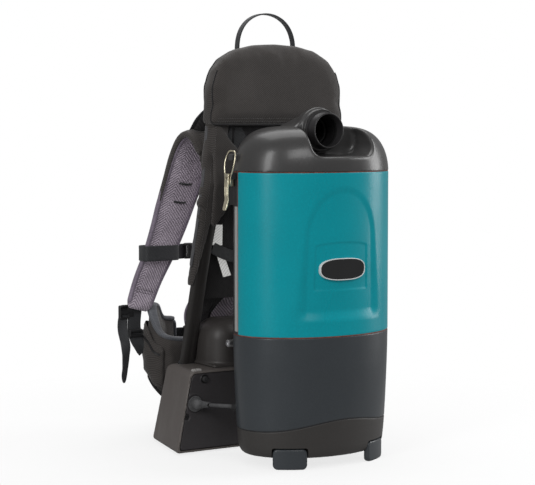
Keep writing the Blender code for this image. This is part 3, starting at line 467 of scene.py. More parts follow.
def sweep(name, rows, count, across, section, material, relief=None, round_ends=0, **options):
    """A closed band along rows of (x, y, z, half width, half thickness), with its lay stored for the weave.

    section is a list of (u, v) from -1 to 1; relief(u, v, run, share) pushes points out along the thickness.
    """
    path, run = spline(rows, count)
    centre = path[:, :3]
    along = unit(np.gradient(centre, axis=0))
    wide = np.asarray(across, float)
    if wide.ndim == 1:
        wide = np.repeat(wide[None], count, 0)
    else:
        wide = np.stack([np.interp(np.linspace(0, 1, count), np.linspace(0, 1, len(wide)), wide[:, i])
                         for i in range(3)], 1)
    wide = unit(wide - along * (wide * along).sum(1, keepdims=True))
    thick = np.cross(along, wide)
    section = np.asarray(section, float)
    verts, lay = [], []
    for i in range(count):
        end = min(i, count - 1 - i)
        shrink = 1.0 if end >= round_ends else math.sqrt(max(0.02, 1 - (1 - end / round_ends) ** 2))
        for u, v in section:
            lift = 0.0 if relief is None else relief(u, v, run[i], run[-1])
            verts.append(centre[i] + wide[i] * u * path[i, 3] * (0.25 * shrink + 0.75)
                         + thick[i] * v * (path[i, 4] * shrink + lift))
            lay.append((u * path[i, 3], run[i], v))
    n = len(section)
    faces = grid_faces(count, n, wrap=True)
    faces.append(tuple(range(n))[::-1])
    faces.append(tuple(range((count - 1) * n, count * n)))
    obj = piece(name, verts, faces, material, **options)
    outward(obj.data)
    store_lay(obj, lay)
    return obj


def store_lay(obj, lay):
    attribute = obj.data.attributes.get("lay") or obj.data.attributes.new("lay", "FLOAT_VECTOR", "POINT")
    attribute.data.foreach_set("vector", np.asarray(lay, np.float32).ravel())


def pad_section(count=40, flatness=0.55, edge=0.8):
    """Cross-section of a padded band: crowned faces and soft, slightly pinched edges."""
    out = []
    for i in range(count):
        a = 2 * math.pi * i / count
        c, s = math.cos(a), math.sin(a)
        out.append((math.copysign(abs(c) ** edge, c), math.copysign(abs(s) ** flatness, s)))
    return out


def flat_section():
    """Cross-section of flat webbing with rolled selvedges."""
    top = [(-1.0, 0.35), (-0.96, 0.85), (-0.88, 1.0), (-0.5, 0.94), (0.0, 0.92), (0.5, 0.94), (0.88, 1.0),
           (0.96, 0.85), (1.0, 0.35)]
    return top + [(u, -v) for u, v in reversed(top)]


def tube(name, points, radius, material, sides=10, count=None, closed=False, **options):
    """A round bar, wire or piping through points."""
    rows = [tuple(p) for p in points]
    if closed:
        rows = rows + [rows[0]]
    path, run = spline(rows, count or 6 * len(points))
    centre = path[:-1, :3] if closed else path[:, :3]
    n = len(centre)
    if closed:
        along = unit(np.roll(centre, -1, 0) - np.roll(centre, 1, 0))
    else:
        along = unit(np.gradient(centre, axis=0))
    start = np.array((0.0, 0.0, 1.0)) if abs(along[0][2]) < 0.8 else np.array((1.0, 0.0, 0.0))
    verts, lay = [], []
    frame_a = unit(np.cross(along[0], start))
    for i in range(n):
        frame_a = unit(frame_a - along[i] * (frame_a @ along[i]))
        frame_b = np.cross(along[i], frame_a)
        for k in range(sides):
            a = 2 * math.pi * k / sides
            verts.append(centre[i] + radius * (math.cos(a) * frame_a + math.sin(a) * frame_b))
            lay.append((radius * a, run[i], 0.0))
    faces = grid_faces(n, sides, wrap=True)
    if closed:
        best = min(range(sides), key=lambda s: np.linalg.norm(verts[(n - 1) * sides] - verts[s]))
        for k in range(sides):
            m = (k + 1) % sides
            faces.append(((n - 1) * sides + k, (n - 1) * sides + m, (m + best) % sides, (k + best) % sides))
    else:
        faces.append(tuple(range(sides))[::-1])
        faces.append(tuple(range((n - 1) * sides, n * sides)))
    obj = piece(name, verts, faces, material, smooth=60.0, **options)
    outward(obj.data)
    store_lay(obj, lay)
    return obj


def lathe(name, profile, material, steps=96, oval=1.0, turn=None, **options):
    """Turn a closed profile of (radius, height) about Z; turn places the result."""
    verts = []
    for i in range(steps):
        a = 2 * math.pi * i / steps
        for r, h in profile:
            p = Vector((r * math.cos(a), r * math.sin(a) * oval, h))
            verts.append(tuple(turn @ p if turn else p))
    n = len(profile)
    faces = []
    for i in range(steps):
        j = (i + 1) % steps
        for k in range(n):
            m = (k + 1) % n
            faces.append((i * n + k, j * n + k, j * n + m, i * n + m))
    obj = piece(name, verts, faces, material, **options)
    bm = bmesh.new()
    bm.from_mesh(obj.data)
    bmesh.ops.remove_doubles(bm, verts=bm.verts, dist=1e-6)
    bmesh.ops.recalc_face_normals(bm, faces=bm.faces)
    bm.to_mesh(obj.data)
    bm.free()
    return obj


def stitches(name, lines, material=None, length=0.003, gap=0.0012, radius=0.00035, **options):
    """Rows of sewn thread: each line is points on the cloth, and each stitch lies along it."""
    verts, faces, lay = [], [], []
    for line in lines:
        path, run = spline([tuple(p) for p in line], max(12, 4 * len(line)))
        at = 0.0
        while at + length < run[-1]:
            ends = [np.array([np.interp(at + d, run, path[:, i]) for i in range(3)]) for d in (0, length)]
            axis = unit(ends[1] - ends[0])
            side = unit(np.cross(axis, (0.3, 0.5, 0.81)))
            other = np.cross(axis, side)
            base = len(verts)
            for share, size in ((0.0, 0.35), (0.2, 1.0), (0.8, 1.0), (1.0, 0.35)):
                c = ends[0] * (1 - share) + ends[1] * share
                for k in range(6):
                    a = math.pi * k / 3
                    verts.append(c + size * radius * (math.cos(a) * side + math.sin(a) * other))
                    lay.append((radius * a, share * length, 0.0))
            faces += grid_faces(4, 6, wrap=True, offset=base)
            faces.append(tuple(range(base, base + 6))[::-1])
            faces.append(tuple(range(base + 18, base + 24)))
            at += length + gap
    obj = piece(name, verts, faces, material or THREAD, smooth=60.0, **options)
    outward(obj.data)
    store_lay(obj, lay)
    return obj


def merged(name, parts, material, **options):
    """One piece from several (verts, faces) in the canister's frame."""
    verts, faces = [], []
    for v, f in parts:
        base = len(verts)
        verts += [tuple(p) for p in v]
        faces += [tuple(base + i for i in face) for face in f]
    obj = piece(name, verts, faces, material, **options)
    outward(obj.data)
    return obj


def block_mesh(low, high, bevel=0.0, segments=3, turn=None):
    low, high = Vector(low), Vector(high)
    bm = bmesh.new()
    place = Matrix.Translation((low + high) / 2) @ Matrix.Diagonal((*(high - low), 1.0))
    bmesh.ops.create_cube(bm, size=1.0, matrix=place)
    if bevel:
        bmesh.ops.bevel(bm, geom=bm.edges, offset=bevel, segments=segments, affect="EDGES", profile=0.5)
    if turn:
        bm.transform(turn)
    verts = [tuple(v.co) for v in bm.verts]
    bm.verts.index_update()
    faces = [tuple(v.index for v in f.verts) for f in bm.faces]
    bm.free()
    return verts, faces


# ---------------------------------------------------------------- camera and light

def camera():
    data = bpy.data.cameras.new("camera")
    data.lens = 114.3
    data.sensor_width = 36.0
    cam = bpy.data.objects.new("camera", data)
    bpy.context.scene.collection.objects.link(cam)
    cam.location = (-1.4415, -2.3136, 0.5221)
    cam.rotation_euler = (math.radians(90 - 4.083), 0, math.radians(-31.99))
    bpy.context.scene.camera = cam


def softbox(name, location, target, size, power, colour=(1, 1, 1)):
    data = bpy.data.lights.new(name, "AREA")
    data.energy = power
    data.shape = "RECTANGLE"
    data.size, data.size_y = size
    data.color = colour
    light = bpy.data.objects.new(name, data)
    bpy.context.scene.collection.objects.link(light)
    light.location = location
    light.rotation_euler = (Vector(target) - Vector(location)).to_track_quat("-Z", "Y").to_euler()


def studio():
    world = bpy.data.worlds.new("world")
    world.use_nodes = True
    tree = world.node_tree
    tree.nodes["Background"].inputs["Color"].default_value = (1, 1, 1, 1)
    seen = tree.nodes.new("ShaderNodeLightPath").outputs["Is Camera Ray"]
    level = tree.nodes.new("ShaderNodeMapRange")
    tree.links.new(seen, level.inputs["Value"])
    level.inputs["To Min"].default_value = 0.28
    level.inputs["To Max"].default_value = 1.0
    tree.links.new(level.outputs[0], tree.nodes["Background"].inputs["Strength"])
    bpy.context.scene.world = world
    bpy.context.scene.view_settings.view_transform = "Standard"
    mesh = bpy.data.meshes.new("floor")
    mesh.from_pydata([(-2, -2, 0), (2, -2, 0), (2, 2, 0), (-2, 2, 0)], [], [(0, 1, 2, 3)])
    floor = bpy.data.objects.new("floor", mesh)
    bpy.context.scene.collection.objects.link(floor)
    paper = Shader("paper", 0.9)
    paper.colour(paper.mix(paper.noise(3.0), (0.86, 0.86, 0.86), (0.9, 0.9, 0.9)))
    distance = paper.add("ShaderNodeVectorMath", operation="LENGTH")
    paper.put(distance.inputs[0], paper.position)
    clear = paper.add("ShaderNodeBsdfTransparent").outputs[0]
    blend = paper.add("ShaderNodeMixShader")
    paper.put(blend.inputs[0], paper.ramp(distance.outputs["Value"], 0.78, 1.0, 0.25, 0.85))
    paper.put(blend.inputs[1], paper.bsdf.outputs[0])
    paper.put(blend.inputs[2], clear)
    paper.put(paper.tree.nodes["Material Output"].inputs["Surface"], blend.outputs[0])
    mesh.materials.append(paper.material)
    softbox("key", (-2.9, -1.5, 1.5), (0, -0.1, 0.3), (0.7, 2.4), 44)
    softbox("front", (-0.9, -3.6, 2.6), (0, -0.1, 0.3), (2.2, 1.2), 40)
    softbox("edge", (2.3, -0.6, 1.2), (0, -0.1, 0.3), (0.9, 2.4), 36)
    softbox("top", (0.3, 0.6, 3.0), (0, 0, 0.3), (2.4, 2.4), 44)


# ---------------------------------------------------------------- canister

def seam_z(x):
    return 0.0665 + 0.0065 * np.cos(math.pi * x / 0.12) + 0.0035 * x / 0.12


def smoothstep(t):
    t = np.clip(t, 0.0, 1.0)
    return t * t * (3 - 2 * t)


def arch_depth(x, z):
    """How deep the arched field of the front shell is pressed in, in metres."""
    high = z > 0.345
    outer_half = np.where(high, 0.066, 0.066 + (0.345 - z) * 0.125)
    inner_half = np.where(high, 0.056, 0.056 + (0.345 - z) * 0.03)
    rise = np.maximum(z - 0.345, 0.0)
    qo = np.sqrt((x / outer_half) ** 2 + (rise / 0.082) ** 2)
    qi = np.sqrt((x / inner_half) ** 2 + (rise / 0.069) ** 2)
    t = (1 - qo) / np.maximum((1 - qo) + (qi - 1), 1e-6)
    t = np.where(qi <= 1, 1.0, np.where(qo >= 1, 0.0, t))
    depth = 0.0016 + 0.003 * np.clip((0.4 - z) / 0.16, 0, 1)
    low = smoothstep((z - 0.2215) / 0.0185)
    pad_top = 0.333 + 0.008 * np.sqrt(np.clip(1 - (x / 0.05) ** 2, 0, 1))
    edge = np.maximum(np.abs(x) - (0.0465 + (0.335 - z) * 0.03), np.maximum(z - pad_top, 0.27 - z))
    pad = 0.0009 * smoothstep((0.0012 - edge) / 0.0024)
    return depth * smoothstep(t) * low + pad * low


def polar(rho, angle):
    return rho * np.cos(angle), rho * OVAL * np.sin(angle)


def shell(name, angles, levels, outer, thickness, material, **options):
    """A closed skin of the oval: outer(angle, share) gives (radius, height, inset along the normal)."""
    a, share = np.meshgrid(angles, levels)
    rho, z, inset = outer(a, share)
    closed = abs(angles[-1] - angles[0]) > 6.0
    if closed:
        a, rho, z, inset = a[:, :-1], rho[:, :-1], z[:, :-1], inset[:, :-1]
    x, y = polar(rho, a)
    nx, ny = np.cos(a), np.sin(a) / OVAL
    size = np.sqrt(nx ** 2 + ny ** 2)
    nx, ny = nx / size, ny / size
    out = np.stack([x - nx * inset, y - ny * inset, z], -1)
    back = np.maximum(inset + thickness, thickness)
    inner = np.stack([x - nx * back, y - ny * back, z], -1)
    rows, columns = x.shape
    verts = np.concatenate([out.reshape(-1, 3), inner.reshape(-1, 3)])
    n = rows * columns
    faces = grid_faces(rows, columns, closed) + grid_faces(rows, columns, closed, n, True)
    last = columns if closed else columns - 1
    for j in range(last):
        k = (j + 1) % columns
        faces.append((k, j, n + j, n + k))
        base = (rows - 1) * columns
        faces.append((base + j, base + k, n + base + k, n + base + j))
    if not closed:
        for i in range(rows - 1):
            p, q = i * columns, (i + 1) * columns
            faces.append((p, q, n + q, n + p))
            p, q = p + columns - 1, q + columns - 1
            faces.append((q, p, n + p, n + q))
    obj = piece(name, verts, faces, material, **options)
    outward(obj.data)
    return obj


def soft_ends(z, low, high, radius, depth):
    near = np.clip((radius - np.minimum(z - low, high - z)) / radius, 0, 1)
    return depth * (1 - np.sqrt(np.clip(1 - near ** 2, 0, 1)))


def canister():
    cut = math.asin(0.0034 / HALF_DEPTH)
    angles = np.linspace(math.pi - cut, 2 * math.pi + cut, 300)

    def front(a, share):
        z = SHELL_LOW + (SHELL_HIGH - SHELL_LOW) * share
        rho = np.full_like(z, HALF_WIDTH)
        x, _ = polar(rho, a)
        on_front = smoothstep((-np.sin(a) - 0.25) / 0.2)
        return rho, z, arch_depth(x, z) * on_front + soft_ends(z, SHELL_LOW, SHELL_HIGH, 0.0016, 0.0012)

    levels = np.concatenate([[0, 0.001, 0.003, 0.006], np.linspace(0.012, 0.988, 190), [0.994, 0.997, 0.999, 1.0]])
    shell("front_skin", angles, levels, front, 0.0028, TEAL, replaces="front_shell", smooth=50)

    heights = np.array([0.016, 0.0163, 0.0175, 0.02, 0.0245, 0.03, 0.045, 0.06, 0.09, 0.12, 0.15, 0.175, 0.199])
    radii = np.array([0.1085, 0.111, 0.114, 0.1172, 0.12, 0.1216, 0.1233, 0.1246, 0.1263,
                      0.1277, 0.1289, 0.1296, 0.13])
    ring = np.linspace(0, 2 * math.pi, 289)

    def housing(a, share):
        x, _ = polar(np.full_like(a, 0.124), a)
        low = seam_z(x) + 0.0007
        z = low + (0.199 - low) * share
        return np.interp(z, heights, radii), z, soft_ends(z, low, 0.199, 0.0014, 0.001)

    levels = np.concatenate([[0, 0.002, 0.005, 0.01], np.linspace(0.02, 0.98, 60), [0.99, 0.995, 0.998, 1.0]])
    shell("housing_skin", ring, levels, housing, 0.0028, SLATE, replaces="motor_housing", smooth=50)

    def cover(a, share):
        x, _ = polar(np.full_like(a, 0.124), a)
        high = seam_z(x) - 0.0007
        z = 0.016 + (high - 0.016) * share
        return np.interp(z, heights, radii), z, soft_ends(z, -1.0, high, 0.0014, 0.001)

    levels = np.concatenate([np.linspace(0, 0.9, 40), [0.94, 0.97, 0.985, 0.993, 1.0]])
    a, share = np.meshgrid(ring[:-1], levels)
    rho, z, inset = cover(a, share)
    x, y = polar(rho - inset, a)
    out = np.stack([x, y, z], -1)
    rows, columns = x.shape
    rim = out[-1] - np.array((0, 0, 0.004))
    rim[:, 0] *= 0.965
    rim[:, 1] *= 0.965
    verts = np.concatenate([out.reshape(-1, 3), rim, rim * (0.9, 0.9, 1)])
    faces = grid_faces(rows + 2, columns, True)
    faces.append(tuple(range(columns))[::-1])
    faces.append(tuple(range((rows + 1) * columns, (rows + 2) * columns)))
    obj = piece("base_skin", verts, faces, BASE, replaces="base_cover", smooth=45)
    outward(obj.data)
    for side, word in SIDES:
        carve(obj, foot_block(side, 0.0016))
    for i in range(6):
        x = -0.05 + 0.02 * i
        carve(obj, block_mesh((x - 0.003, 0.06, 0.026), (x + 0.003, 0.11, 0.05), 0.0012, 2))
    shade(obj.data, 40)
    for side, word in SIDES:
        front_foot(side, word)

    def seam(a, share):
        x, _ = polar(np.full_like(a, 0.124), a)
        z = seam_z(x) - 0.0011 + 0.0022 * share
        return np.interp(z, heights, radii) - 0.0007, z, np.zeros_like(z)

    shell("base_seam", ring, np.linspace(0, 1, 4), seam, 0.0022, RUBBER)

    def gasket(low, high, radius):
        def rows(a, share):
            z = low + (high - low) * share
            return np.full_like(z, radius), z, 0.0006 * (2 * share - 1) ** 2
        return rows

    levels = np.linspace(0, 1, 7)
    shell("body_gasket", ring, levels, gasket(0.1988, 0.201, 0.1297), 0.006, SEAL, replaces="body_seal")
    shell("lid_gasket", ring, levels, gasket(0.4452, 0.4468, 0.1296), 0.006, SEAL, body="lid")
    for side, word in SIDES:
        cut_y = 0.004
        x = side * HALF_WIDTH * math.sqrt(1 - (cut_y / HALF_DEPTH) ** 2)
        tube("split_seam_" + word, [(x * 0.997, cut_y, z) for z in np.linspace(0.2015, 0.445, 8)], 0.0008, SEAL, 8)
    badge()


def foot_frame(side):
    angle = math.radians(41) * side
    at = Vector((math.sin(angle) * 0.1215, -math.cos(angle) * 0.1215 * OVAL, 0.0))
    heading = math.atan2(math.sin(angle) / 0.1215, math.cos(angle) / (0.1215 * OVAL))
    return Matrix.Translation(at) @ Matrix.Rotation(heading, 4, "Z")


def foot_block(side, grow):
    return block_mesh((-0.026 - grow, -0.012, -0.01), (0.026 + grow, 0.0125 + grow, 0.031 + grow), 0.004, 4,
                      foot_frame(side))


def front_foot(side, word):
    """Tongue foot: a band of the shell's outline with rounded lower corners."""
    place = foot_frame(side)

    def fn(x, y, z):
        inverse = np.array(place.inverted())
        px = inverse[0, 0] * x + inverse[0, 1] * y + inverse[0, 3]
        py = inverse[1, 0] * x + inverse[1, 1] * y + inverse[1, 3]
        body = rounded_box(px, z, py, (-0.026, -0.0002, -0.02), (0.026, 0.031, 0.02), 0.0075)
        band = np.maximum(oval_distance(x, y, 0.1219), -oval_distance(x, y, 0.11))
        return smax(body, band, 0.003) + FOOT_DRAFT

    centre = place.translation
    surface("foot_" + word, fn, (centre.x - 0.03, centre.y - 0.034, 0.0),
            (centre.x + 0.03, centre.y + 0.034, 0.032),
            0.001, SLATE, replaces="front_foot_" + word, smooth=60)


def carve(obj, solid):
    verts, faces = solid
    mesh = bpy.data.meshes.new("cutter")
    mesh.from_pydata([tuple(np.array(v) + SHIFT) for v in verts], [], faces)
    outward(mesh)
    cutter = bpy.data.objects.new("cutter", mesh)
    bpy.context.scene.collection.objects.link(cutter)
    modifier = obj.modifiers.new("carve", "BOOLEAN")
    modifier.operation = "DIFFERENCE"
    modifier.solver = "EXACT"
    modifier.object = cutter
    graph = bpy.context.evaluated_depsgraph_get()
    made = bpy.data.meshes.new_from_object(obj.evaluated_get(graph))
    obj.modifiers.clear()
    material = obj.data.materials[0]
    obj.data = made
    made.materials.clear()
    made.materials.append(material)
    made.polygons.foreach_set("material_index", [0] * len(made.polygons))
    bpy.data.objects.remove(cutter)


def badge():
    """Blank name plate: a dark rounded lozenge in a light rim, following the shell."""
    def plate(name, half_x, half_z, front, back, material, hollow=None):
        count = 96
        rings = []
        for grow, push in ((-0.0006, back), (0.0, back), (0.0, front - 0.0004), (-0.0005, front)):
            rings.append((half_x + grow, half_z + grow, push))
        if hollow:
            hx, hz = hollow
            rings += [(hx + 0.0005, hz + 0.0005, front), (hx, hz, front - 0.0004), (hx, hz, back)]
        verts = []
        for hx, hz, push in rings:
            for k in range(count):
                a = 2 * math.pi * k / count
                c, s = math.cos(a), math.sin(a)
                x = hx * math.copysign(abs(c) ** 0.72, c)
                z = 0.301 + hz * math.copysign(abs(s) ** 0.72, s)
                y = -HALF_DEPTH * math.sqrt(1 - (x / HALF_WIDTH) ** 2)
                verts.append((x, y - push, z))
        faces = grid_faces(len(rings), count, True)
        if hollow:
            last = (len(rings) - 1) * count
            faces += [(last + k, last + (k + 1) % count, (k + 1) % count, k) for k in range(count)]
        else:
            faces.append(tuple(range((len(rings) - 1) * count, len(rings) * count)))
            faces.append(tuple(range(count))[::-1])
        obj = piece(name, verts, faces, material, smooth=30)
        outward(obj.data)
        return obj

    plate("badge_rim", 0.0405, 0.0165, 0.0004, -0.006, BADGE_RIM, (0.0391, 0.0152))
    field = plate("badge_field", 0.039, 0.0151, -0.0002, -0.006, BADGE)
    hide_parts("badge")


# ---------------------------------------------------------------- cap, port and latches

def cap_body(x, y, z):
    """The lid's outer form: squared dome and hood, before the scoop is taken out."""
    rho = oval_radius(x, y)
    rise = np.maximum(z - 0.446, 0.0)
    value = (rho / HALF_WIDTH) ** 5 + (rise / 0.069) ** 1.9 - 1
    dr = 5 * rho ** 4 / HALF_WIDTH ** 5
    dz = 1.9 * np.maximum(rise, 1e-4) ** 0.9 / 0.069 ** 1.9
    lean = np.sqrt((x / np.maximum(rho, 1e-6)) ** 2 + (y / (OVAL ** 2 * np.maximum(rho, 1e-6))) ** 2)
    dome = value / np.sqrt((dr * lean) ** 2 + dz ** 2 + 16.0)
    t, away = line_distance(x, y, z, (0, -0.036, 0.511), (0, 0.052, 0.488), -1.0)
    hood = away - (0.037 - 0.0055 * np.clip(t, 0, 1))
    return smin(dome, hood, 0.013)


def scoop_space(x, y, z):
    """The rounded hollow that the port stands in."""
    def corner(px, pz, lx, lz, hx, hz, r):
        qx = np.abs(px - (lx + hx) / 2) - ((hx - lx) / 2 - r)
        qz = np.abs(pz - (lz + hz) / 2) - ((hz - lz) / 2 - r)
        return np.sqrt(np.maximum(qx, 0) ** 2 + np.maximum(qz, 0) ** 2) + np.minimum(np.maximum(qx, qz), 0) - r

    main = corner(x, z, -0.047, 0.47, 0.066, 0.516, 0.02)
    tall = corner(x, z, -0.047, 0.47, 0.045, 0.6, 0.014)
    return smax(smin(main, tall, 0.003), y + 0.022, 0.012)


def cap_surface(x, y, z):
    outer = cap_body(x, y, z)
    scooped = smax(outer, -scoop_space(x, y, z), 0.0065)
    collar = cylinder_y(x, y, z, 0, PORT_Z, 0.0318, -0.0285, 0.0)
    whole = smin(scooped, collar, 0.002)
    core = smax(outer + 0.003, -(scoop_space(x, y, z) - 0.003), 0.002)
    walls = np.maximum(whole, -core)
    walls = np.maximum(walls, -cylinder_y(x, y, z, 0, PORT_Z, 0.0272, -0.08, 0.01))
    for side, _ in SIDES:
        hook = rounded_box(side * x, y, z, (0.112, 0.014, 0.463), (0.1335, 0.026, 0.4735), 0.0012)
        slope = (side * x - 0.129) * 0.707 + (z - 0.4755) * 0.707
        walls = smin(walls, smax(hook, slope - 0.0006, 0.001), 0.0012)
    return np.maximum(walls, 0.4468 - z)


def cap():
    surface("cap_skin", cap_surface, (-0.137, -0.092, 0.4465), (0.137, 0.092, 0.549), 0.0015, CAP, body="lid",
            replaces="cap_shell", smooth=42)
    lie = Matrix.Translation((0, 0, PORT_Z)) @ Matrix.Rotation(math.pi / 2, 4, "X")
    profile = [(0.0245, 0.0064), (0.0245, 0.047), (0.0248, 0.0477), (0.0255, 0.048), (0.0263, 0.0479),
               (0.0269, 0.0474), (0.027, 0.0466), (0.027, 0.035), (0.0273, 0.0345), (0.0273, 0.029),
               (0.029, 0.0284), (0.0295, 0.027), (0.0295, 0.0235), (0.027, 0.0225), (0.027, 0.0064)]
    lathe("port_tube", profile, DARK, 96, turn=lie, body="lid", replaces="inlet_port", smooth=35)
    liner = [(0.02, -0.009), (0.0268, -0.009), (0.0268, 0.0063), (0.0244, 0.033), (0.0238, 0.033), (0.0262, 0.006),
             (0.0262, -0.0084), (0.02, -0.0084)]
    lathe("port_liner", liner, BLACK, 64, turn=lie, body="lid", smooth=35)
    ring = [(0.031, 0.0288), (0.0316, 0.0294), (0.0322, 0.0288), (0.0322, 0.027), (0.031, 0.027)]
    lathe("port_collar_ring", ring, CAP, 96, turn=lie, body="lid", smooth=35)


def latches():
    for side, word in SIDES:
        lever_plate(side, word)
        x, y, z = side * 0.1375, 0.02, 0.428
        half = [(0.0, 0.0, 0.0), (0.0, 0.006, 0.0), (0.0, 0.0074, 0.0012), (0.0, 0.008, 0.008),
                (-0.0006, 0.0102, 0.016), (-0.0018, 0.013, 0.025), (-0.0034, 0.0138, 0.034),
                (-0.0054, 0.0122, 0.042), (-0.0068, 0.0088, 0.048), (-0.0071, 0.0048, 0.0494)]
        loop = [(x + side * px, y + py, z + pz) for px, py, pz in half]
        loop += [(x + side * px, y - py, z + pz) for px, py, pz in reversed(half[1:])]
        tube("wire_bail_" + word, loop, 0.00125, ZINC, 10, 160, closed=True, body="latch_bail_" + word,
             replaces="latch_bail_" + word)


def lever_plate(side, word):
    """Pressed steel lever: three lengthwise ribs, a rivet, a rolled hinge eye and a bent finger tab."""
    def fn(x, y, z):
        u = x - 0.134
        centre = np.interp(z, [0.386, 0.39, 0.4035, 0.412, 0.45], [0.0104, 0.0096, 0.0057, 0.0057, 0.0057])
        ends = smoothstep((z - 0.407) / 0.004) * smoothstep((0.4335 - z) / 0.004)
        groove = 0.00055 * np.cos((y - 0.02) / 0.0055 * math.pi * 2.5) * ends
        plate = np.abs(u - centre - groove) - 0.0011
        half = 0.0055 - 0.0016 * smoothstep((0.3935 - z) / 0.007)
        plate = smax(plate, np.abs(y - 0.02) - half, 0.001)
        plate = smax(plate, np.maximum(0.3882 - z, z - 0.4432), 0.001)
        cheek = rounded_box(u, y, z, (-0.0035, 0.0145, 0.424), (0.0065, 0.0255, 0.4435), 0.0012)
        hollow = rounded_box(u, y, z, (-0.006, 0.016, 0.43), (0.004, 0.024, 0.4375), 0.0008)
        cheek = smax(cheek, -hollow, 0.0006)
        body = smin(plate, cheek, 0.0012)
        hole = np.sqrt((y - 0.02) ** 2 + (z - 0.4365) ** 2) - 0.0019
        body = smax(body, -np.maximum(hole, 0.0035 - u), 0.0004)
        for px, pz in ((0.0, 0.44), (0.0035, 0.428)):
            body = smax(body, -(np.sqrt((u - px) ** 2 + (z - pz) ** 2) - 0.0017), 0.0003)
        return body

    side_surface("lever_" + word, fn, side, (0.1295, 0.0135, 0.3865), (0.1465, 0.0265, 0.445), 0.00055, ZINC,
                 body="latch_lever_" + word, replaces="latch_lever_" + word, smooth=50)


# ---------------------------------------------------------------- power box and carrier

def box_form(x, y, z, inset=0.0):
    """Distance outside the tapered power box with rounded edges, and the y of its front plane."""
    t = (z - 0.003) / 0.127
    front_y, back_y = 0.12 + 0.005 * t, 0.26 - 0.031 * t
    share = (y - front_y) / (back_y - front_y)
    half = (0.172 - 0.028 * t) * (1 - share) + (0.142 - 0.011 * t) * share
    out = smax((np.abs(x) - half) * 0.955 + inset, (y - back_y) * 0.97 + inset, 0.009)
    out = smax(out, z - 0.13 + inset, 0.01)
    return smax(out, 0.003 - z + inset, 0.006), front_y


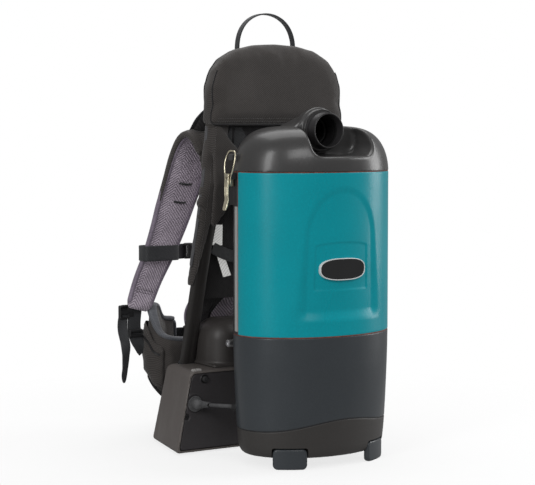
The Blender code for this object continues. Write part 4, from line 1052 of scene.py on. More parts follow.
def power_box():
    def housing(x, y, z):
        outer, front_y = box_form(x, y, z)
        body = smax(outer, front_y - y, 0.0045)
        inner, _ = box_form(x, y, z, 0.0036)
        body = smax(body, -np.maximum(inner, y - front_y - 0.01), 0.0008)
        body = body + BOX_DRAFT
        for fx, fy in ((0.136, 0.142), (0.116, 0.236)):
            stud = np.maximum(np.sqrt((np.abs(x) - fx) ** 2 + (y - fy) ** 2) - 0.007, np.abs(z - 0.005) - 0.005)
            body = smin(body, stud, 0.0012)
        return body

    surface("box_skin", housing, (-0.174, 0.118, 0.0), (0.174, 0.262, 0.132), 0.0022, BOX,
            replaces="power_box_housing", smooth=45)

    def cover(x, y, z):
        inner, front_y = box_form(x, y, z, 0.0044)
        plate = smax(inner, np.abs(y - front_y - 0.0037) - 0.0021, 0.0016)
        rim = np.sqrt((x + 0.137) ** 2 + (z - 0.079) ** 2)
        plate = smin(plate, np.maximum(np.abs(rim - 0.015) - 0.001, np.abs(y - front_y - 0.0016) - 0.0006), 0.0008)
        hole = np.maximum(np.sqrt((x + 0.118) ** 2 + (z - 0.1165) ** 2) - 0.0066, 0.116 - y)
        plate = smax(plate, -hole, 0.0008)
        for side in (-1, 1):
            plate = smax(plate, -np.maximum(np.sqrt((x - side * SCREW_X) ** 2 + (z - SCREW_Z) ** 2) - 0.0048,
                                            y - front_y - 0.004), 0.0008)
        return plate

    # The cover takes the darker copy of the box plastic, a painted shade of the front faces.
    surface("box_cover_skin", cover, (-0.17, 0.119, 0.006), (0.17, 0.132, 0.128), 0.0015, BOX_COVER_PAINTED_SHADE,
            replaces="box_front_cover", smooth=45)
    for side, word in SIDES:
        def screw(x, y, z, side=side):
            px, pz = x - side * SCREW_X, z - SCREW_Z
            r = np.sqrt(px ** 2 + pz ** 2)
            head = smax(r - 0.0038, np.abs(y - 0.1262) - 0.0016, 0.001)
            cross = np.minimum(np.maximum(np.abs(px + pz) - 0.0007, r - 0.0024),
                               np.maximum(np.abs(px - pz) - 0.0007, r - 0.0024))
            return np.maximum(head, -np.maximum(cross, y - 0.1258))

        surface("cover_screw_" + word, screw, (side * SCREW_X - 0.0044, 0.124, SCREW_Z - 0.0044),
                (side * SCREW_X + 0.0044, 0.1285, SCREW_Z + 0.0044), 0.0004, BUCKLE, smooth=30)

    knob = [(0.0, 0.0), (0.0026, 0.0002), (0.0044, 0.0009), (0.0051, 0.002), (0.0052, 0.01), (0.0, 0.01)]
    inward = Matrix.Rotation(-math.pi / 2, 4, "X")
    turn = Matrix.Translation((-0.118, 0.1213, 0.1165)) @ inward
    lathe("button_cap", knob, RUBBER, 48, turn=turn, body="power_button", replaces="power_button")
    ring = [(0.006, 0.0), (0.0066, -0.0006), (0.0074, -0.0008), (0.008, -0.0002), (0.008, 0.002), (0.006, 0.002)]
    lathe("button_ring", ring, DARK, 48, turn=Matrix.Translation((-0.118, 0.1262, 0.1165)) @ inward)
    parts = [block_mesh((-0.138, 0.1275, 0.129), (-0.122, 0.1345, 0.132), 0.0008),
             block_mesh((-0.1372, 0.1282, 0.1316), (-0.1318, 0.1338, 0.1332), 0.0006),
             block_mesh((-0.1302, 0.1282, 0.1316), (-0.1228, 0.1338, 0.1332), 0.0006)]
    merged("clip_skin", parts, CLIP, replaces="cover_clip", smooth=35)

    face = 0.122 + 0.003

    def boot(x, y, z):
        px, pz = x + 0.137, z - 0.079
        r = np.sqrt(px ** 2 + pz ** 2)
        flange = smax(r - 0.0125, np.abs(y - face + 0.002) - 0.0016, 0.0014)
        groove = np.sqrt((r - 0.0104) ** 2 + (y - face + 0.0037) ** 2) - 0.0007
        body = smax(flange, -groove, 0.0003)
        ball = np.sqrt(px ** 2 + (y - face + 0.01) ** 2 + pz ** 2) - 0.0086
        body = smin(body, ball, 0.0018)
        t, away = line_distance(x, y, z, (-0.134, face - 0.011, 0.079), (-0.1215, 0.1068, 0.0785))
        rings = 0.0004 * np.cos(np.clip(t - 0.45, 0, 1) * 2 * math.pi * 7) * (t > 0.45)
        return smin(body, away - (0.0064 - 0.002 * t) - rings, 0.0022)

    surface("boot_skin", boot, (-0.151, 0.1045, 0.065), (-0.1185, 0.126, 0.093), 0.0007, CABLE,
            replaces="cable_boot", smooth=60)

    route = [(-0.1216, 0.1069, 0.0785), (-0.115, 0.1035, 0.0777), (-0.1085, 0.0965, 0.0775),
             (-0.1045, 0.087, 0.078), (-0.102, 0.0785, 0.0788), (-0.1, 0.07, 0.079), (-0.0954, 0.05, 0.079)]
    cable = tube("link_cable_sheath", route, 0.0032, CABLE, 20, 120, replaces="link_cable")
    path, run = spline(route, 120)


def carrier():
    def dome(x, y, z):
        body = rounded_box(x, y, z, (-0.0895, 0.142, 0.06), (0.0895, 0.2285, 0.205), 0.032)
        plinth = rounded_box(x, y, z, (-0.0915, 0.14, 0.125), (0.0915, 0.23, 0.1345), 0.003)
        body = smin(body, plinth, 0.003)
        groove = np.abs(x) - 0.0007
        body = smax(body, -np.maximum(groove, -(body + 0.0008)), 0.0004)
        return smax(body, 0.1304 - z, 0.0008)

    surface("dome_skin", dome, (-0.093, 0.138, 0.13), (0.093, 0.232, 0.206), 0.002, DOME,
            replaces="rear_dome", smooth=50)
    for side, word in SIDES:
        turn = Matrix.Translation((side * 0.0583, 0.122, 0.171)) @ Matrix.Rotation(side * math.pi / 2, 4, "Y")
        head = [(0.0, 0.0), (0.0062, 0.0), (0.0062, 0.0105), (0.0057, 0.0112), (0.0057, 0.0126), (0.0062, 0.0133),
                (0.0062, 0.019), (0.0056, 0.0203), (0.004, 0.0207), (0.0036, 0.019), (0.0, 0.0188)]
        lathe("bolt_head_" + word, head, STEEL, 48, turn=turn, replaces="clamp_bolt_" + word, smooth=30)
        washer = [(0.0063, 0.0), (0.009, 0.0002), (0.0094, 0.0008), (0.0094, 0.0022), (0.0088, 0.0028),
                  (0.0063, 0.0028)]
        lathe("bolt_washer_" + word, washer, RUBBER, 48, turn=turn, smooth=30)
        rows = [(side * x, y, z, 0.013, 0.007) for x, y, z in STAY_LINE]

        def groove(u, v, run, whole):
            return -0.0008 * math.exp(-(u / 0.1) ** 2) if abs(v) > 0.9 else 0.0

        sweep("stay_tube_" + word, rows, 90, (1, 0, 0), pad_section(56, 0.75, 0.75), STAY, groove,
              replaces="stay_" + word)
        collar = mirror(side, [(0.1016, 0.2135, 0.1272, 0.015, 0.0092), (0.1017, 0.212, 0.1315, 0.015, 0.0092),
                  (0.1018, 0.2112, 0.1335, 0.014, 0.008)])
        sweep("stay_collar_" + word, collar, 14, (1, 0, 0), pad_section(48, 0.8, 0.8), RUBBER, round_ends=3)


# ---------------------------------------------------------------- soft goods

STAY_LINE = ((0.1015, 0.2155, 0.1205), (0.1025, 0.176, 0.25), (0.104, 0.143, 0.355), (0.105, 0.126, 0.43),
             (0.105, 0.117, 0.512))
STRAP_LINE = ((0.088, 0.1405, 0.476, 0.03), (0.092, 0.15, 0.496, 0.033), (0.094, 0.168, 0.503, 0.034),
              (0.096, 0.188, 0.493, 0.035), (0.099, 0.205, 0.466, 0.036), (0.103, 0.22, 0.43, 0.0355),
              (0.108, 0.237, 0.39, 0.034), (0.113, 0.255, 0.348, 0.031), (0.121, 0.274, 0.303, 0.0275),
              (0.133, 0.29, 0.26, 0.0245), (0.1465, 0.299, 0.212, 0.0215))
BELT_LINE = ((0.0, 0.2745, 0.062, 0.16), (0.06, 0.2745, 0.06, 0.16), (0.098, 0.2775, 0.062, 0.164),
             (0.1135, 0.288, 0.078, 0.178), (0.1165, 0.305, 0.098, 0.212), (0.101, 0.324, 0.106, 0.214),
             (0.08, 0.343, 0.11, 0.192), (0.05, 0.352, 0.116, 0.186))


PAD_MID = 0.111             # the y of the head pad's middle
CLOTH_FRAMES = 20
INLAYS = (((0.0825, 0.358), (0.071, 0.3575), (0.0655, 0.324), (0.0835, 0.325)),
          ((0.071, 0.305), (0.0554, 0.301), (0.04, 0.2735), (0.054, 0.271)))
SLEEVE_Z = (0.24, 0.3, 0.355, 0.405, 0.45, 0.508)
SLEEVE_X = (0.10625, 0.10725, 0.1035, 0.0955, 0.09325, 0.0945)
SLEEVE_HALF = (0.01275, 0.01425, 0.018, 0.025, 0.02625, 0.0235)


def stay_y(z):
    return np.interp(z, [p[2] for p in STAY_LINE], [p[1] for p in STAY_LINE])


def remeshed(name, node, material):
    """A CAD soft solid as an even mesh, to sew and stuff."""
    obj = bpy.data.objects.new(name, nodes[node].data.copy())
    bpy.context.scene.collection.objects.link(obj)
    remesh = obj.modifiers.new("remesh", "REMESH")
    remesh.mode = "VOXEL"
    remesh.voxel_size = 0.005
    apply_modifiers(obj)
    mesh = obj.data
    bpy.data.objects.remove(obj)
    return finish_piece(name, mesh, material, replaces=node, smooth=60)


def stuffed(obj, seam, pressure, limit, shrink):
    """A soft piece blown out by Cloth between its sewn lines, by limit at most, and smoothed.

    seam(points) is near 1 where the cloth is sewn down, and holds it there.
    """
    rest = points_of(obj)
    held = np.clip(seam(rest - SHIFT), 0, 1)
    moved = rest.copy()
    group = obj.vertex_groups.new(name="sewn")
    for i in np.nonzero(held > 0.3)[0]:
        group.add([int(i)], float(held[i]), "REPLACE")
    cloth = obj.modifiers.new("cloth", "CLOTH")
    for key, value in dict(quality=4, mass=0.25, tension_stiffness=12, compression_stiffness=12,
                           shear_stiffness=6, bending_stiffness=0.6, use_pressure=True,
                           uniform_pressure_force=pressure, shrink_min=shrink,
                           vertex_group_mass="sewn").items():
        setattr(cloth.settings, key, value)
    cloth.settings.effector_weights.gravity = 0.0
    cloth.collision_settings.use_collision = False
    cloth.point_cache.frame_start = 1
    cloth.point_cache.frame_end = CLOTH_FRAMES
    for step in range(1, CLOTH_FRAMES + 1):
        bpy.context.scene.frame_set(step)
    graph = bpy.context.evaluated_depsgraph_get()
    moved = points_of(obj.evaluated_get(graph))
    obj.modifiers.clear()
    bpy.context.scene.frame_set(1)
    shift = moved - rest
    size = np.linalg.norm(shift, axis=1, keepdims=True)
    shift *= np.minimum(1.0, limit / np.maximum(size, 1e-9))
    obj.data.vertices.foreach_set("co", (rest + shift).astype(np.float32).ravel())
    obj.vertex_groups.clear()
    smooth = obj.modifiers.new("smooth", "SMOOTH")
    smooth.factor = 0.5
    smooth.iterations = 2
    finer = obj.modifiers.new("finer", "SUBSURF")
    finer.levels = finer.render_levels = 1
    apply_modifiers(obj)
    shade(obj.data, 60)
    local = points_of(obj) - SHIFT
    store_lay(obj, np.stack([local[:, 0], local[:, 2], local[:, 1]], 1))
    return obj


def apply_modifiers(obj):
    graph = bpy.context.evaluated_depsgraph_get()
    made = bpy.data.meshes.new_from_object(obj.evaluated_get(graph))
    obj.modifiers.clear()
    obj.data = made


def points_of(obj):
    points = np.empty(len(obj.data.vertices) * 3, np.float32)
    obj.data.vertices.foreach_get("co", points)
    return points.reshape(-1, 3).astype(float)


def on_cloth(obj, points, direction, lift=0.0002):
    """Where lines through points along direction meet obj, lifted off it; all in the canister's frame."""
    out = []
    direction = Vector(direction).normalized()
    for p in points:
        start = Vector(p) + Vector(SHIFT) - direction * 0.08
        hit, at, normal, _ = obj.ray_cast(start, direction)
        if hit:
            out.append(np.array(at + normal * lift) - SHIFT)
    return out


def strap_rows(line, side):
    return [(side * x, y, z, half, 0.006) for x, y, z, half in line]


def strap_frame(rows, count):
    """Points, width and thickness directions down a strap, and how far along each is."""
    path, run = spline(rows, count)
    along = unit(np.gradient(path[:, :3], axis=0))
    wide = unit(np.array((1.0, 0, 0)) - along * along[:, :1])
    return path, wide, np.cross(along, wide), run


def sheet_on(name, points, out, material, thick=0.0008, **options):
    """A thin closed cloth over a grid of points, thickened along out."""
    points, out = np.asarray(points), np.asarray(out)
    rows, columns = points.shape[:2]
    n = rows * columns
    crown = np.ones((rows, columns, 1))
    crown[0], crown[-1], crown[:, 0], crown[:, -1] = 0.35, 0.35, 0.35, 0.35
    lift = out * thick * crown
    verts = np.concatenate([(points + lift).reshape(-1, 3), (points - lift).reshape(-1, 3)])
    faces = grid_faces(rows, columns) + grid_faces(rows, columns, offset=n, flip=True)
    for j in range(columns - 1):
        faces.append((j + 1, j, n + j, n + j + 1))
        k = (rows - 1) * columns + j
        faces.append((k, k + 1, n + k + 1, n + k))
    for i in range(rows - 1):
        k = i * columns
        faces.append((k, k + columns, n + k + columns, n + k))
        k += columns - 1
        faces.append((k + columns, k, n + k, n + k + columns))
    obj = piece(name, verts, faces, material, smooth=60, **options)
    outward(obj.data)
    run = np.concatenate([[0], np.cumsum(np.linalg.norm(np.diff(points[:, columns // 2], axis=0), axis=1))])
    across = np.linalg.norm(points - points[:, :1], axis=2)
    lay = np.stack([across, np.repeat(run[:, None], columns, 1), 0 * across], -1).reshape(-1, 3)
    store_lay(obj, np.concatenate([lay, lay]))
    return obj


def shoulder_strap(side, word):
    rows = strap_rows(STRAP_LINE, side)
    count = 150
    path, wide, thick, run = strap_frame(rows, count)
    whole = run[-1]
    full = pad_section(56, 0.62, 0.62)
    inner = [(u * 0.985, v) for u, v in full if v >= 0.0]
    inner = [(0.985, -0.1)] + inner + [(-0.985, -0.1)]
    outer = [(u, v * 0.97) for u, v in full if v <= 0.02]

    def quilt(u, v, at, total):
        if v < 0.5:
            return 0.0
        dip = sum(math.exp(-((total - at - d) / 0.0016) ** 2) for d in (0.03, 0.0345))
        soft = 0.0005 * math.sin(at * 150 + 3 * u) * math.sin(at * 61 + 1.3)
        return 0.001 * (1 - u * u) + soft - 0.0014 * dip * (abs(u) < 0.75)

    def folds(u, v, at, total):
        return 0.0005 * math.sin(at * 120 + 2 * u) if v < -0.5 else 0.0

    pad = sweep("strap_mesh_" + word, rows, count, (1, 0, 0), inner, MESH, quilt, 5,
                replaces="shoulder_strap_" + word)
    back = sweep("strap_cover_" + word, rows, count, (1, 0, 0), outer, CLOTH, folds, 5)
    fade = [max(0.0, 1 - i / (0.5 * count)) for i in range(count)]

    def at_edge(i, edge, inset, lift):
        return path[i, :3] + wide[i] * edge * (path[i, 3] - inset) + thick[i] * lift

    for edge in (-1, 1):
        place = word + ("_in" if edge * side < 0 else "_out")
        hem = [(*at_edge(i, edge, 0.0012, 0.0014), 0.0014 + 0.0034 * fade[i], 0.0052)
               for i in range(0, count // 2, 3)]
        sweep("strap_hem_" + place, hem, 90, (1, 0, 0), pad_section(16, 0.9, 0.9), CLOTH, round_ends=3)
        line = [(*at_edge(i, edge, 0.0022 + 0.006 * fade[i], 0.0012 + 0.0018 * fade[i]), 0.0038, 0.0048)
                for i in range(2, count - 2, 3)]
        sweep("strap_binding_" + place, line, 130, (1, 0, 0), pad_section(16, 0.9, 0.9), BINDING, round_ends=3)
        seam = [at_edge(i, edge, 0.0062, 0.0068) for i in range(6, count - 6, 4)]
        stitches("strap_seam_" + place, [seam], BINDING)

    hood = [(*path[i, :3], path[i, 3] + 0.001, path[i, 4] + 0.0012) for i in range(0, int(0.165 * count), 2)]
    sweep("strap_hood_" + word, hood, 40, (1, 0, 0), pad_section(40, 0.7, 0.7), CLOTH, round_ends=4)

    def at(share, u, lift):
        i = min(count - 1, max(0, int(round(share * (count - 1)))))
        return path[i, :3] + wide[i] * u * path[i, 3] + thick[i] * lift

    def share_of(z):
        lower = [i for i in range(count // 5, count) if path[i, 2] <= z]
        return lower[0] / (count - 1)

    for number, z in enumerate((0.425, 0.395)):
        s = share_of(z)
        loop = [(*at(s, side * -u, 0.0064 + lift), 0.0017, 0.0006)
                for u, lift in ((0.42, 0.0), (0.36, 0.0012), (0.2, 0.0022), (0.0, 0.0024), (-0.16, 0.0016),
                                (-0.24, 0.0))]
        sweep("keeper_%s_%d" % (word, number), loop, 24, wide_down(path, s), flat_section(), WEB)
    rows_of = []
    for drop in (0.03, 0.0345):
        s = 1 - drop / whole
        rows_of.append([at(s, u, 0.0062) for u in np.linspace(-0.72, 0.72, 9)])
    stitches("strap_end_stitch_" + word, rows_of, WEB)
    grid, out = [], []
    for t in np.linspace(0, 1, 30):
        outer = ((1 - t) ** 2 * np.array((0.1255, 0.167, 0.499)) + 2 * t * (1 - t) * np.array((0.112, 0.15, 0.487))
                 + t ** 2 * np.array((0.119, 0.129, 0.433)))
        inner = np.array((0.108, 0.122, 0.506)) * (1 - t) + np.array((0.112, 0.124, 0.433)) * t
        grid.append([(outer * (1 - u) + inner * u + np.array((0, 0.003 * math.sin(math.pi * u), 0))) * (side, 1, 1)
                     for u in np.linspace(0, 1, 12)])
        out.append([np.array((side * 0.35, -0.9, 0.25))] * 12)
    sheet_on("yoke_wing_" + word, grid, out, CLOTH, 0.0012)
    stitches("yoke_wing_hem_" + word, [[g[1] + o[1] * 0.0014 for g, o in zip(grid, out)]])


def wide_down(path, share):
    """Which way the strap runs at this share of it."""
    i = int(round(share * (len(path) - 1)))
    return path[min(i + 3, len(path) - 1), :3] - path[max(i - 3, 0), :3]


def strap_hardware(side, word):
    lifter = mirror(side, [(0.112, 0.13, 0.54, 0.003, 0.0012), (0.1115, 0.138, 0.534, 0.0065, 0.0012),
              (0.1105, 0.15, 0.524, 0.0105, 0.0012), (0.1085, 0.167, 0.5085, 0.0125, 0.0012)])
    sweep("load_lifter_web_" + word, lifter, 40, (1, 0, 0), flat_section(), WEB, replaces="load_lifter_" + word)
    grid, out = [], []
    for s in np.linspace(0, 1, 14):
        top = np.array((side * 0.116, 0.128, 0.536)) * (1 - s) + np.array((side * 0.12, 0.156, 0.509)) * s
        low = np.array((side * 0.09, 0.129, 0.524)) * (1 - s) + np.array((side * 0.08, 0.142, 0.502)) * s
        grid.append([top * (1 - t) + low * t + np.array((0, 0.0015 * math.sin(6 * t + 4 * s), 0))
                     for t in np.linspace(0, 1, 12)])
        out.append([np.array((0, 0.8, 0.6))] * 12)
    sheet_on("pad_gusset_" + word, grid, out, CLOTH_DARK)

    x, y, z = side * 0.1195, 0.2705, 0.307
    ring = [(0.028, 0.016), (-0.02, 0.0172), (-0.029, 0.0146), (-0.0314, 0.004), (-0.0296, -0.0085),
            (-0.02, -0.0118), (0.0, -0.0126), (0.02, -0.0118), (0.03, -0.0088), (0.0318, 0.004), (0.03, 0.014),
            (0.02, 0.0176), (-0.01, 0.019)]
    rows = [(x + side * px, y + py, z, 0.0125, 0.0011) for px, py in ring]
    sweep("sternum_loop_" + word, rows, 150, (0, 0, 1), flat_section(), WEB, replaces="sternum_strap_" + word)
    end = -0.064 if side < 0 else -0.02
    tail = [(x - side * 0.015, 0.2862, z, 0.0125, 0.0011), (x - side * 0.03, 0.2852, z, 0.0125, 0.0011),
            ((x + end) / 2, 0.283, z - 0.001, 0.0125, 0.0011), (end, 0.284, z, 0.0125, 0.0011)]
    sweep("sternum_web_" + word, tail, 60, (0, 0, 1), flat_section(), WEB)
    tack = [np.array((x - side * 0.018, 0.288, z + drop)) for drop in (-0.0085, 0.0, 0.0085)]
    stitches("sternum_tack_" + word, [tack], slot="webbing")

    anchor = mirror(side, [(0.145, 0.303, 0.222, 0.012, 0.0012), (0.146, 0.3075, 0.21, 0.012, 0.0012),
              (0.148, 0.308, 0.185, 0.012, 0.0012), (0.145, 0.307, 0.165, 0.012, 0.0012),
              (0.137, 0.305, 0.15, 0.012, 0.0012), (0.13, 0.306, 0.142, 0.012, 0.0012)])
    sweep("anchor_web_" + word, anchor, 70, (1, 0, 0), flat_section(), WEB, replaces="strap_tail_" + word)
    tail = mirror(side, [(0.1665, 0.3085, 0.206, 0.008, 0.0011), (0.1685, 0.3096, 0.192, 0.0082, 0.0011),
            (0.168, 0.3096, 0.176, 0.0082, 0.0011), (0.164, 0.307, 0.15, 0.0078, 0.0011),
            (0.1655, 0.306, 0.12, 0.007, 0.0011), (0.1672, 0.3066, 0.104, 0.006, 0.0011),
            (0.1676, 0.307, 0.094, 0.0034, 0.0011), (0.1676, 0.307, 0.0905, 0.001, 0.001)])
    twist = [(1, 0, 0), (0.9, -0.35, 0), (0.75, -0.6, 0), (0.95, 0.2, 0), (0.9, 0.4, 0.1), (0.95, 0.2, 0)]
    sweep("tail_web_" + word, tail, 90, twist, flat_section(), WEB)

    def lock(x, y, z):
        body = rounded_box(x, y, z, (0.1572, 0.305, 0.1965), (0.1758, 0.3122, 0.2195), 0.0024)
        for low, high in ((0.1995, 0.2045), (0.211, 0.2165)):
            body = smax(body, -rounded_box(x, y, z, (0.1595, 0.3, low), (0.1735, 0.308, high), 0.001), 0.0006)
        tab = rounded_box(x, y, z, (0.149, 0.306, 0.1995), (0.16, 0.309, 0.2085), 0.0012)
        lip = rounded_box(x, y, z, (0.16, 0.3035, 0.2165), (0.173, 0.3075, 0.2205), 0.0014)
        return smin(smin(body, tab, 0.001), lip, 0.001)

    side_surface("ladder_lock_" + word, lock, side, (0.1485, 0.303, 0.196), (0.1765, 0.313, 0.221), 0.0007, BUCKLE,
                 smooth=50)

    def slider(x, y, z):
        body = rounded_box(x, y, z, (0.134, 0.302, 0.166), (0.159, 0.311, 0.179), 0.0022)
        return smax(body, -rounded_box(x, y, z, (0.1365, 0.299, 0.1705), (0.1565, 0.315, 0.1745), 0.001), 0.0005)

    side_surface("slider_" + word, slider, side, (0.133, 0.301, 0.165), (0.16, 0.312, 0.18), 0.0007, BUCKLE,
                 smooth=50)


def sternum_buckle():
    def form(x, y, z):
        u, w = x + 0.042, z - 0.307
        female = rounded_box(u, y, w, (-0.0255, 0.2792, -0.0135), (0.003, 0.2888, 0.0135), 0.004)
        waist = np.abs(w) - (0.0135 - 0.0016 * np.exp(-((u - 0.006) / 0.006) ** 2))
        male = rounded_box(u, y, w, (0.004, 0.28, -0.0125), (0.0255, 0.288, 0.0125), 0.003)
        for side in (-1, 1):
            window = rounded_box(u, y, w * side, (-0.011, 0.27, 0.0068), (-0.0008, 0.3, 0.015), 0.002)
            female = smax(female, -window, 0.0008)
            prong = rounded_box(u, y, w * side, (-0.0105, 0.2815, 0.0078), (0.01, 0.2865, 0.0128), 0.0018)
            male = smin(male, prong, 0.001)
        male = smax(male, -rounded_box(u, y, w, (0.016, 0.27, -0.01), (0.0215, 0.3, 0.01), 0.0012), 0.0006)
        female = smax(female, -rounded_box(u, y, w, (-0.0215, 0.27, -0.01), (-0.0165, 0.3, 0.01), 0.0012), 0.0006)
        return smin(smax(female, waist, 0.001), male, 0.0004)

    surface("buckle_body", form, (-0.069, 0.2785, 0.2925), (-0.015, 0.2895, 0.3215), 0.0008, BUCKLE,
            replaces="sternum_buckle", smooth=45)


def belt_closure():
    def form(x, y, z):
        w = z - 0.15
        bend = 0.001 * (x / 0.03) ** 2
        body = rounded_box(x, y + bend, w, (-0.03, 0.3462, -0.0228), (0.03, 0.3598, 0.0228), 0.005)
        for side in (-1, 1):
            hole = rounded_box(x, y, w * side, (-0.009, 0.33, 0.013), (0.007, 0.37, 0.026), 0.003)
            body = smax(body, -hole, 0.0012)
            prong = rounded_box(x, y, w * side, (-0.008, 0.349, 0.014), (0.015, 0.357, 0.0205), 0.0024)
            body = smin(body, prong, 0.0008)
            slot_x = side * x
            hole = rounded_box(slot_x, y, w, (0.0215, 0.33, -0.018), (0.0262, 0.37, 0.018), 0.0014)
            body = smax(body, -hole, 0.0008)
        seam = np.maximum(np.abs(x - 0.0095) - 0.0005, -(body + 0.0008))
        return smax(body, -seam, 0.0003)

    surface("closure_body", form, (-0.031, 0.344, 0.1265), (0.031, 0.361, 0.1735), 0.001, BUCKLE,
            replaces="belt_closure", smooth=45)
    for side, word in SIDES:
        rows = mirror(side, [(0.0238, 0.354, 0.15, 0.019, 0.0012), (0.029, 0.359, 0.15, 0.019, 0.0012),
                (0.04, 0.36, 0.15, 0.019, 0.0012), (0.07, 0.3535, 0.15, 0.019, 0.0012),
                (0.086, 0.344, 0.151, 0.019, 0.0012)])
        sweep("belt_web_" + word, rows, 60, (0, 0, 1), flat_section(), WEB)


def head_pad():
    def sewn(p):
        return smoothstep((0.5275 - p[:, 2]) / 0.004)

    def form(x, y, z):
        side = np.abs(x)
        out = side - np.interp(z, [0.5165, 0.545, 0.578, 0.6, 0.65], [0.121, 0.1238, 0.1232, 0.119, 0.11])
        top = z - np.interp(side, [0, 0.04, 0.075, 0.1, 0.115, 0.124], [0.648, 0.6455, 0.637, 0.6225, 0.604, 0.578])
        rim = smax(smax(out, top * 0.85, 0.012), 0.5168 - z, 0.003)
        return smax(rim, np.abs(y - PAD_MID) - 0.0165, 0.004 + 0.008 * smoothstep((z - 0.52) / 0.03))

    pad = surface("head_cushion", form, (-0.125, 0.0935, 0.5168), (0.125, 0.1285, 0.649), 0.0048, CLOTH,
                    replaces="head_pad")
    stuffed(pad, sewn, 5.0, 0.0045, 0.0)
    lines = [on_cloth(pad, [(x, 0.05, z) for x in np.linspace(-0.112, 0.112, 90)], (0, 1, 0))
             for z in (0.5212, 0.5262)]
    stitches("head_seam", lines)
    back = on_cloth(pad, [(x, 0.17, 0.5262) for x in np.linspace(-0.108, 0.108, 90)], (0, -1, 0))
    stitches("head_seam_back", [back])
    rim = []
    for i in range(61):
        angle = math.pi * (i / 60)
        away = np.array((-math.cos(angle), 0.0, math.sin(angle)))
        rim += on_cloth(pad, [np.array((0.0, 0.1235, 0.54)) + away * 0.09], -away, 0.0004)
    for side, word in SIDES:
        edge = on_cloth(pad, [(side * 0.2, 0.099, z) for z in np.linspace(0.519, 0.6, 24)], (-side, 0, 0), 0.0004)
        tube("head_edge_" + word, edge, 0.0011, CLOTH_DARK, 8, 90)
    tube("head_piping", rim, 0.0014, CLOTH_DARK, 10, 220)
    under = [(-0.1195, 0.0975, 0.5174), (-0.06, 0.0965, 0.517), (0, 0.0965, 0.517), (0.06, 0.0965, 0.517),
             (0.1195, 0.0975, 0.5174)]
    tube("head_hem", under, 0.0014, CLOTH_DARK, 8, 100)
    loop = []
    for i in range(19):
        angle = math.pi * i / 18
        across, up = 0.0015 - 0.0525 * math.cos(angle), 0.632 + 0.0605 * math.sin(angle) ** 0.8
        loop.append((across, 0.1372, up, 0.006, 0.0012))
    loop = [(-0.0515, 0.133, 0.618, 0.006, 0.0012)] + loop + [(0.0545, 0.133, 0.618, 0.006, 0.0012)]
    sweep("carry_web", loop, 140, (0, 1, 0), flat_section(), WEB, replaces="carry_loop")
    for side, word in SIDES:
        tack = block_mesh((side * 0.056 - 0.009, 0.129, 0.615), (side * 0.056 + 0.009, 0.1345, 0.625), 0.0015)
        merged("carry_tack_" + word, [tack], CLOTH_DARK)


def sleeve():
    def sewn(p):
        outer = np.exp(-((p[:, 2] - 0.406) / 0.003) ** 2) * (np.abs(p[:, 0]) < 0.062)
        notch = np.exp(-((p[:, 2] - 0.464) / 0.003) ** 2) * (np.abs(p[:, 0]) < 0.05)
        return np.maximum(outer, notch) * 0.8

    def form(x, y, z):
        side = np.abs(x)
        centre = np.interp(z, SLEEVE_Z, SLEEVE_X)
        half = np.interp(z, SLEEVE_Z, SLEEVE_HALF)
        sx, sy = (side - centre) / half, (y - stay_y(z)) / 0.0112
        ring = (np.abs(sx) ** 2.6 + np.abs(sy) ** 2.6) ** (1 / 2.6) - 1
        folds = np.exp(-((z - 0.385) / 0.034) ** 2) * np.sin((z - 0.55 * side) * 290)
        folds += 0.5 * np.sin(z * 97 + side * 160)
        body = ring * 0.0105 - 0.0011 * folds
        body = smax(body, (0.36 - 6.6 * (side - 0.1017) - z) * 0.15, 0.003)
        body = smax(body, np.maximum(z - 0.521, 0.262 - z), 0.004)
        lean = np.interp(z, (0.36, 0.425), (0.123, 0.1052))
        yoke = np.abs(y - lean) - 0.0038
        yoke = smax(yoke, side - 0.11, 0.004)
        hem = np.interp(side, (0.06, 0.072, 0.085, 0.1017), (0.4075, 0.4, 0.385, 0.36))
        yoke = smax(yoke, np.maximum((hem - z) * 0.8, z - 0.52), 0.003)
        notch = np.maximum((0.462 - z), (side - 0.05 - (z - 0.462) * 0.93) * 0.73)
        yoke = smax(yoke, -notch, 0.002)
        return smin(body, yoke, 0.004)

    cloth = surface("sleeve_cloth", form, (-0.13, 0.098, 0.258), (0.13, 0.192, 0.522), 0.0041, CLOTH,
                    replaces="back_sleeve")
    stuffed(cloth, sewn, 1.0, 0.004, -0.1)
    notch = [(-0.0935, 0.506), (-0.0505, 0.4605), (0.0505, 0.4605), (0.0935, 0.506)]
    line = []
    for (ax, az), (bx, bz) in zip(notch, notch[1:]):
        line += [(ax + (bx - ax) * t, 0.05, az + (bz - az) * t - 0.0035)
                 for t in np.linspace(0, 1, 30, endpoint=False)]
    stitches("notch_seam", [on_cloth(cloth, line, (0, 1, 0))])
    for side, word in SIDES:
        zs = np.linspace(0.292, 0.516, 40)
        x, half = np.interp(zs, SLEEVE_Z, SLEEVE_X), np.interp(zs, SLEEVE_Z, SLEEVE_HALF)
        out_line = [(side * (cx + h + 0.0012), stay_y(z) - 0.001, z) for cx, h, z in zip(x, half, zs)]
        rows = [(*p, 0.0014, 0.004) for p in out_line]
        sweep("sleeve_binding_" + word, rows, 120, (1, 0, 0), pad_section(14, 0.9, 0.9), GREY_DARK, round_ends=2)
        row = [(side * (cx + h - 0.007), 0.03, z) for cx, h, z in zip(x, half, zs)]
        stitches("sleeve_seam_" + word, [on_cloth(cloth, row, (0, 1, 0))])


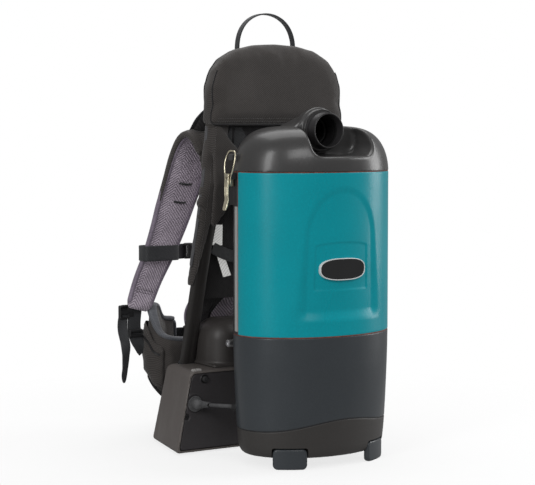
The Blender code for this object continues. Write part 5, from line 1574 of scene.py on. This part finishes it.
def back_panel():
    """Spacer mesh stretched between the stays: dark cloth with lighter mesh let into it, and webbing across."""
    def at(x, z, lift=0.0):
        return np.array((x, float(stay_y(z)) + 0.01 - 0.0012 * math.cos(x * 18) - lift, z))

    grid = [[at(x, z) for x in np.linspace(-0.084, 0.084, 30)] for z in np.linspace(0.236, 0.469, 40)]
    panel = sheet_on("panel_cloth", grid, [[(0, 1, 0)] * 30] * 40, CLOTH_DARK, 0.001,
                     replaces="mesh_panel", slot="light_mesh")
    for side, word in SIDES:
        for number, corners in enumerate(INLAYS):
            a, b, c, d = np.array(corners)
            grid = []
            for t in np.linspace(0, 1, 12):
                left, right = d + (a - d) * t, c + (b - c) * t
                row = [left + (right - left) * s for s in np.linspace(0, 1, 12)]
                grid.append([at(side * min(0.0835, x), z, 0.0022) for x, z in row])
            sheet_on("mesh_inlay_%s_%d" % (word, number), grid, [[(0, -1, 0)] * 12] * 12, MESH_LIGHT, 0.0008)
        rows = [(*at(side * 0.0835, 0.321, 0.005), 0.0095, 0.0011),
                (*at(side * 0.07, 0.314, 0.0055), 0.0095, 0.0011),
                (*at(side * 0.04, 0.304, 0.006), 0.0095, 0.0011), (*at(0.0, 0.3, 0.006), 0.0095, 0.0011)]
        sweep("cross_web_" + word, rows, 50, (0, 0, 1), flat_section(), WEB)
        for number, x in enumerate((0.086, 0.06)):
            rows = [(side * (x - drop), y, z, 0.011, 0.001) for drop, y, z in
                    ((0, 0.1125, 0.512), (0, 0.116, 0.48), (0.002, 0.1215, 0.44), (0.004, 0.127, 0.405))]
            sweep("yoke_web_%s_%d" % (word, number), rows, 40, (1, 0, 0), flat_section(), WEB)
    grid = [[(x, 0.112 + (0.508 - z) * 0.14 + 0.0012 * math.sin(x * 70), z) for x in np.linspace(-0.098, 0.098, 40)]
            for z in np.linspace(0.408, 0.521, 20)]
    sheet_on("yoke_lining", grid, [[(0, 1, 0)] * 40] * 20, CLOTH_DARK, 0.0008)


def back_pad():
    def sewn(p):
        channel = [np.exp(-((p[:, 2] - z) / 0.0028) ** 2) for z in (0.222, 0.285, 0.35, 0.412)]
        return np.max(channel, axis=0) * (np.abs(p[:, 0]) < 0.066)

    pad = stuffed(remeshed("back_cushion", "back_pad", MESH), sewn, 3.5, 0.006, -0.02)
    grid = []
    for t in np.linspace(0, 1, 30):
        row = []
        for x in np.linspace(-0.082, 0.082, 44):
            arch = 0.158 + 0.091 * math.sqrt(max(0.0, 1 - (abs(x) / 0.058) ** 3))
            z = arch + (0.263 - arch) * t
            y = np.interp(z, [0.15, 0.205, 0.24, 0.263], [0.233, 0.231, 0.204, 0.1905])
            row.append((x, y - 0.0072, z))
        grid.append(row)
    sheet_on("back_lining", grid, [[(0, -1, 0)] * 44] * 30, CLOTH_DARK, 0.0009)
    lines = []
    for z in (0.222, 0.285, 0.35, 0.412):
        lines.append(on_cloth(pad, [(x, 0.36, z) for x in np.linspace(-0.062, 0.062, 60)], (0, -1, 0)))
    stitches("back_channels", lines, BINDING)
    half = [(0.15, 0.0725), (0.205, 0.0865), (0.255, 0.0865), (0.33, 0.0785), (0.41, 0.0765), (0.455, 0.06)]
    rows = []
    for z, h in half:
        y = 0.245 if z < 0.21 else float(stay_y(z)) + 0.0295
        rows.append((h, y, z))
    around = [(-x, y, z) for x, y, z in rows] + [(x, y, z) for x, y, z in reversed(rows)]
    tube("back_piping", around, 0.002, BINDING, 10, 200)


def hip_belt():
    def sewn(p):
        lines = [np.exp(-((p[:, 2] - z) / 0.0026) ** 2) for z in (0.093, 0.128)]
        return np.max(lines, axis=0) * (np.abs(p[:, 0]) < 0.085) * (p[:, 1] < 0.29)

    stuffed(remeshed("belt_cushion", "hip_belt", CLOTH), sewn, 2.4, 0.0045, -0.03)
    line = [(-x, y, low, high) for x, y, low, high in reversed(BELT_LINE)] + list(BELT_LINE[1:])
    top = [(x, y, high + 0.0002, 0.0042, 0.0085) for x, y, low, high in line]
    bottom = [(x, y, low - 0.0002, 0.003, 0.0076) for x, y, low, high in line]
    sweep("belt_binding_top", top, 260, (0, 0, 1), pad_section(18, 0.8, 0.8), GREY_TAPE, round_ends=4)
    sweep("belt_binding_low", bottom, 260, (0, 0, 1), pad_section(18, 0.8, 0.8), CLOTH_DARK, round_ends=4)
    for side, word in SIDES:
        end = mirror(side, [(0.0495, 0.3525, 0.118, 0.003, 0.008), (0.0488, 0.353, 0.15, 0.003, 0.0084),
               (0.0495, 0.3525, 0.184, 0.003, 0.008)])
        sweep("belt_end_" + word, end, 30, (1, 0, 0), pad_section(18, 0.8, 0.8), GREY_TAPE, round_ends=3)
        wing = mirror(side, [(0.1052, 0.2795, 0.078, 0.146), (0.1135, 0.2885, 0.086, 0.158),
                (0.1165, 0.305, 0.106, 0.186), (0.103, 0.322, 0.114, 0.188), (0.085, 0.3385, 0.118, 0.172)])
        path, _ = spline([(x, y, (low + high) / 2, (high - low) / 2) for x, y, low, high in wing], 40)
        along = unit(np.gradient(path[:, :2], axis=0))
        normal = np.stack([along[:, 1] * side, -along[:, 0] * side], 1)
        grid, out = [], []
        for i in range(40):
            n = np.array((normal[i, 0], normal[i, 1], 0.0))
            swell = math.sin(math.pi * i / 39) ** 0.5
            row = []
            for t in np.linspace(-1, 1, 16):
                bulge = 0.01 + 0.0045 * swell * (1 - t ** 4) + 0.0008 * math.sin(9 * t + i * 0.5)
                row.append(np.array((path[i, 0], path[i, 1], path[i, 2] + t * path[i, 3])) + n * bulge)
            grid.append(row)
            out.append([n] * 16)
        sheet_on("belt_pocket_" + word, grid, out, CLOTH, 0.001)
        zip_line = [(*(g[12] + o[12] * 0.0014), 0.0016, 0.0009) for g, o in zip(grid[3:-3], out[3:-3])]
        sweep("pocket_zip_" + word, zip_line, 80, (0, 0, 1), flat_section(), BUCKLE)
        hem = [[g[k] + o[k] * 0.0011 for g, o in zip(grid[1:-1], out[1:-1])] for k in (1, 14)]
        stitches("pocket_seam_" + word, hem)


def soft_goods():
    head_pad()
    sleeve()
    back_panel()
    back_pad()
    for side, word in SIDES:
        shoulder_strap(side, word)
        strap_hardware(side, word)
    sternum_buckle()
    hip_belt()
    belt_closure()


def carried_over():
    for name, material in CAD_LOOKS.items():
        obj = nodes[name]
        obj.data.materials.clear()
        obj.data.materials.append(material)
        shade(obj.data, 35)
        if name in ("canister_bracket", "battery_pack"):
            bevel = obj.modifiers.new("edges", "BEVEL")
            bevel.width = 0.0004
            bevel.segments = 2
            bevel.limit_method = "ANGLE"


camera()
studio()
carried_over()
canister()
cap()
latches()
power_box()
carrier()
soft_goods()
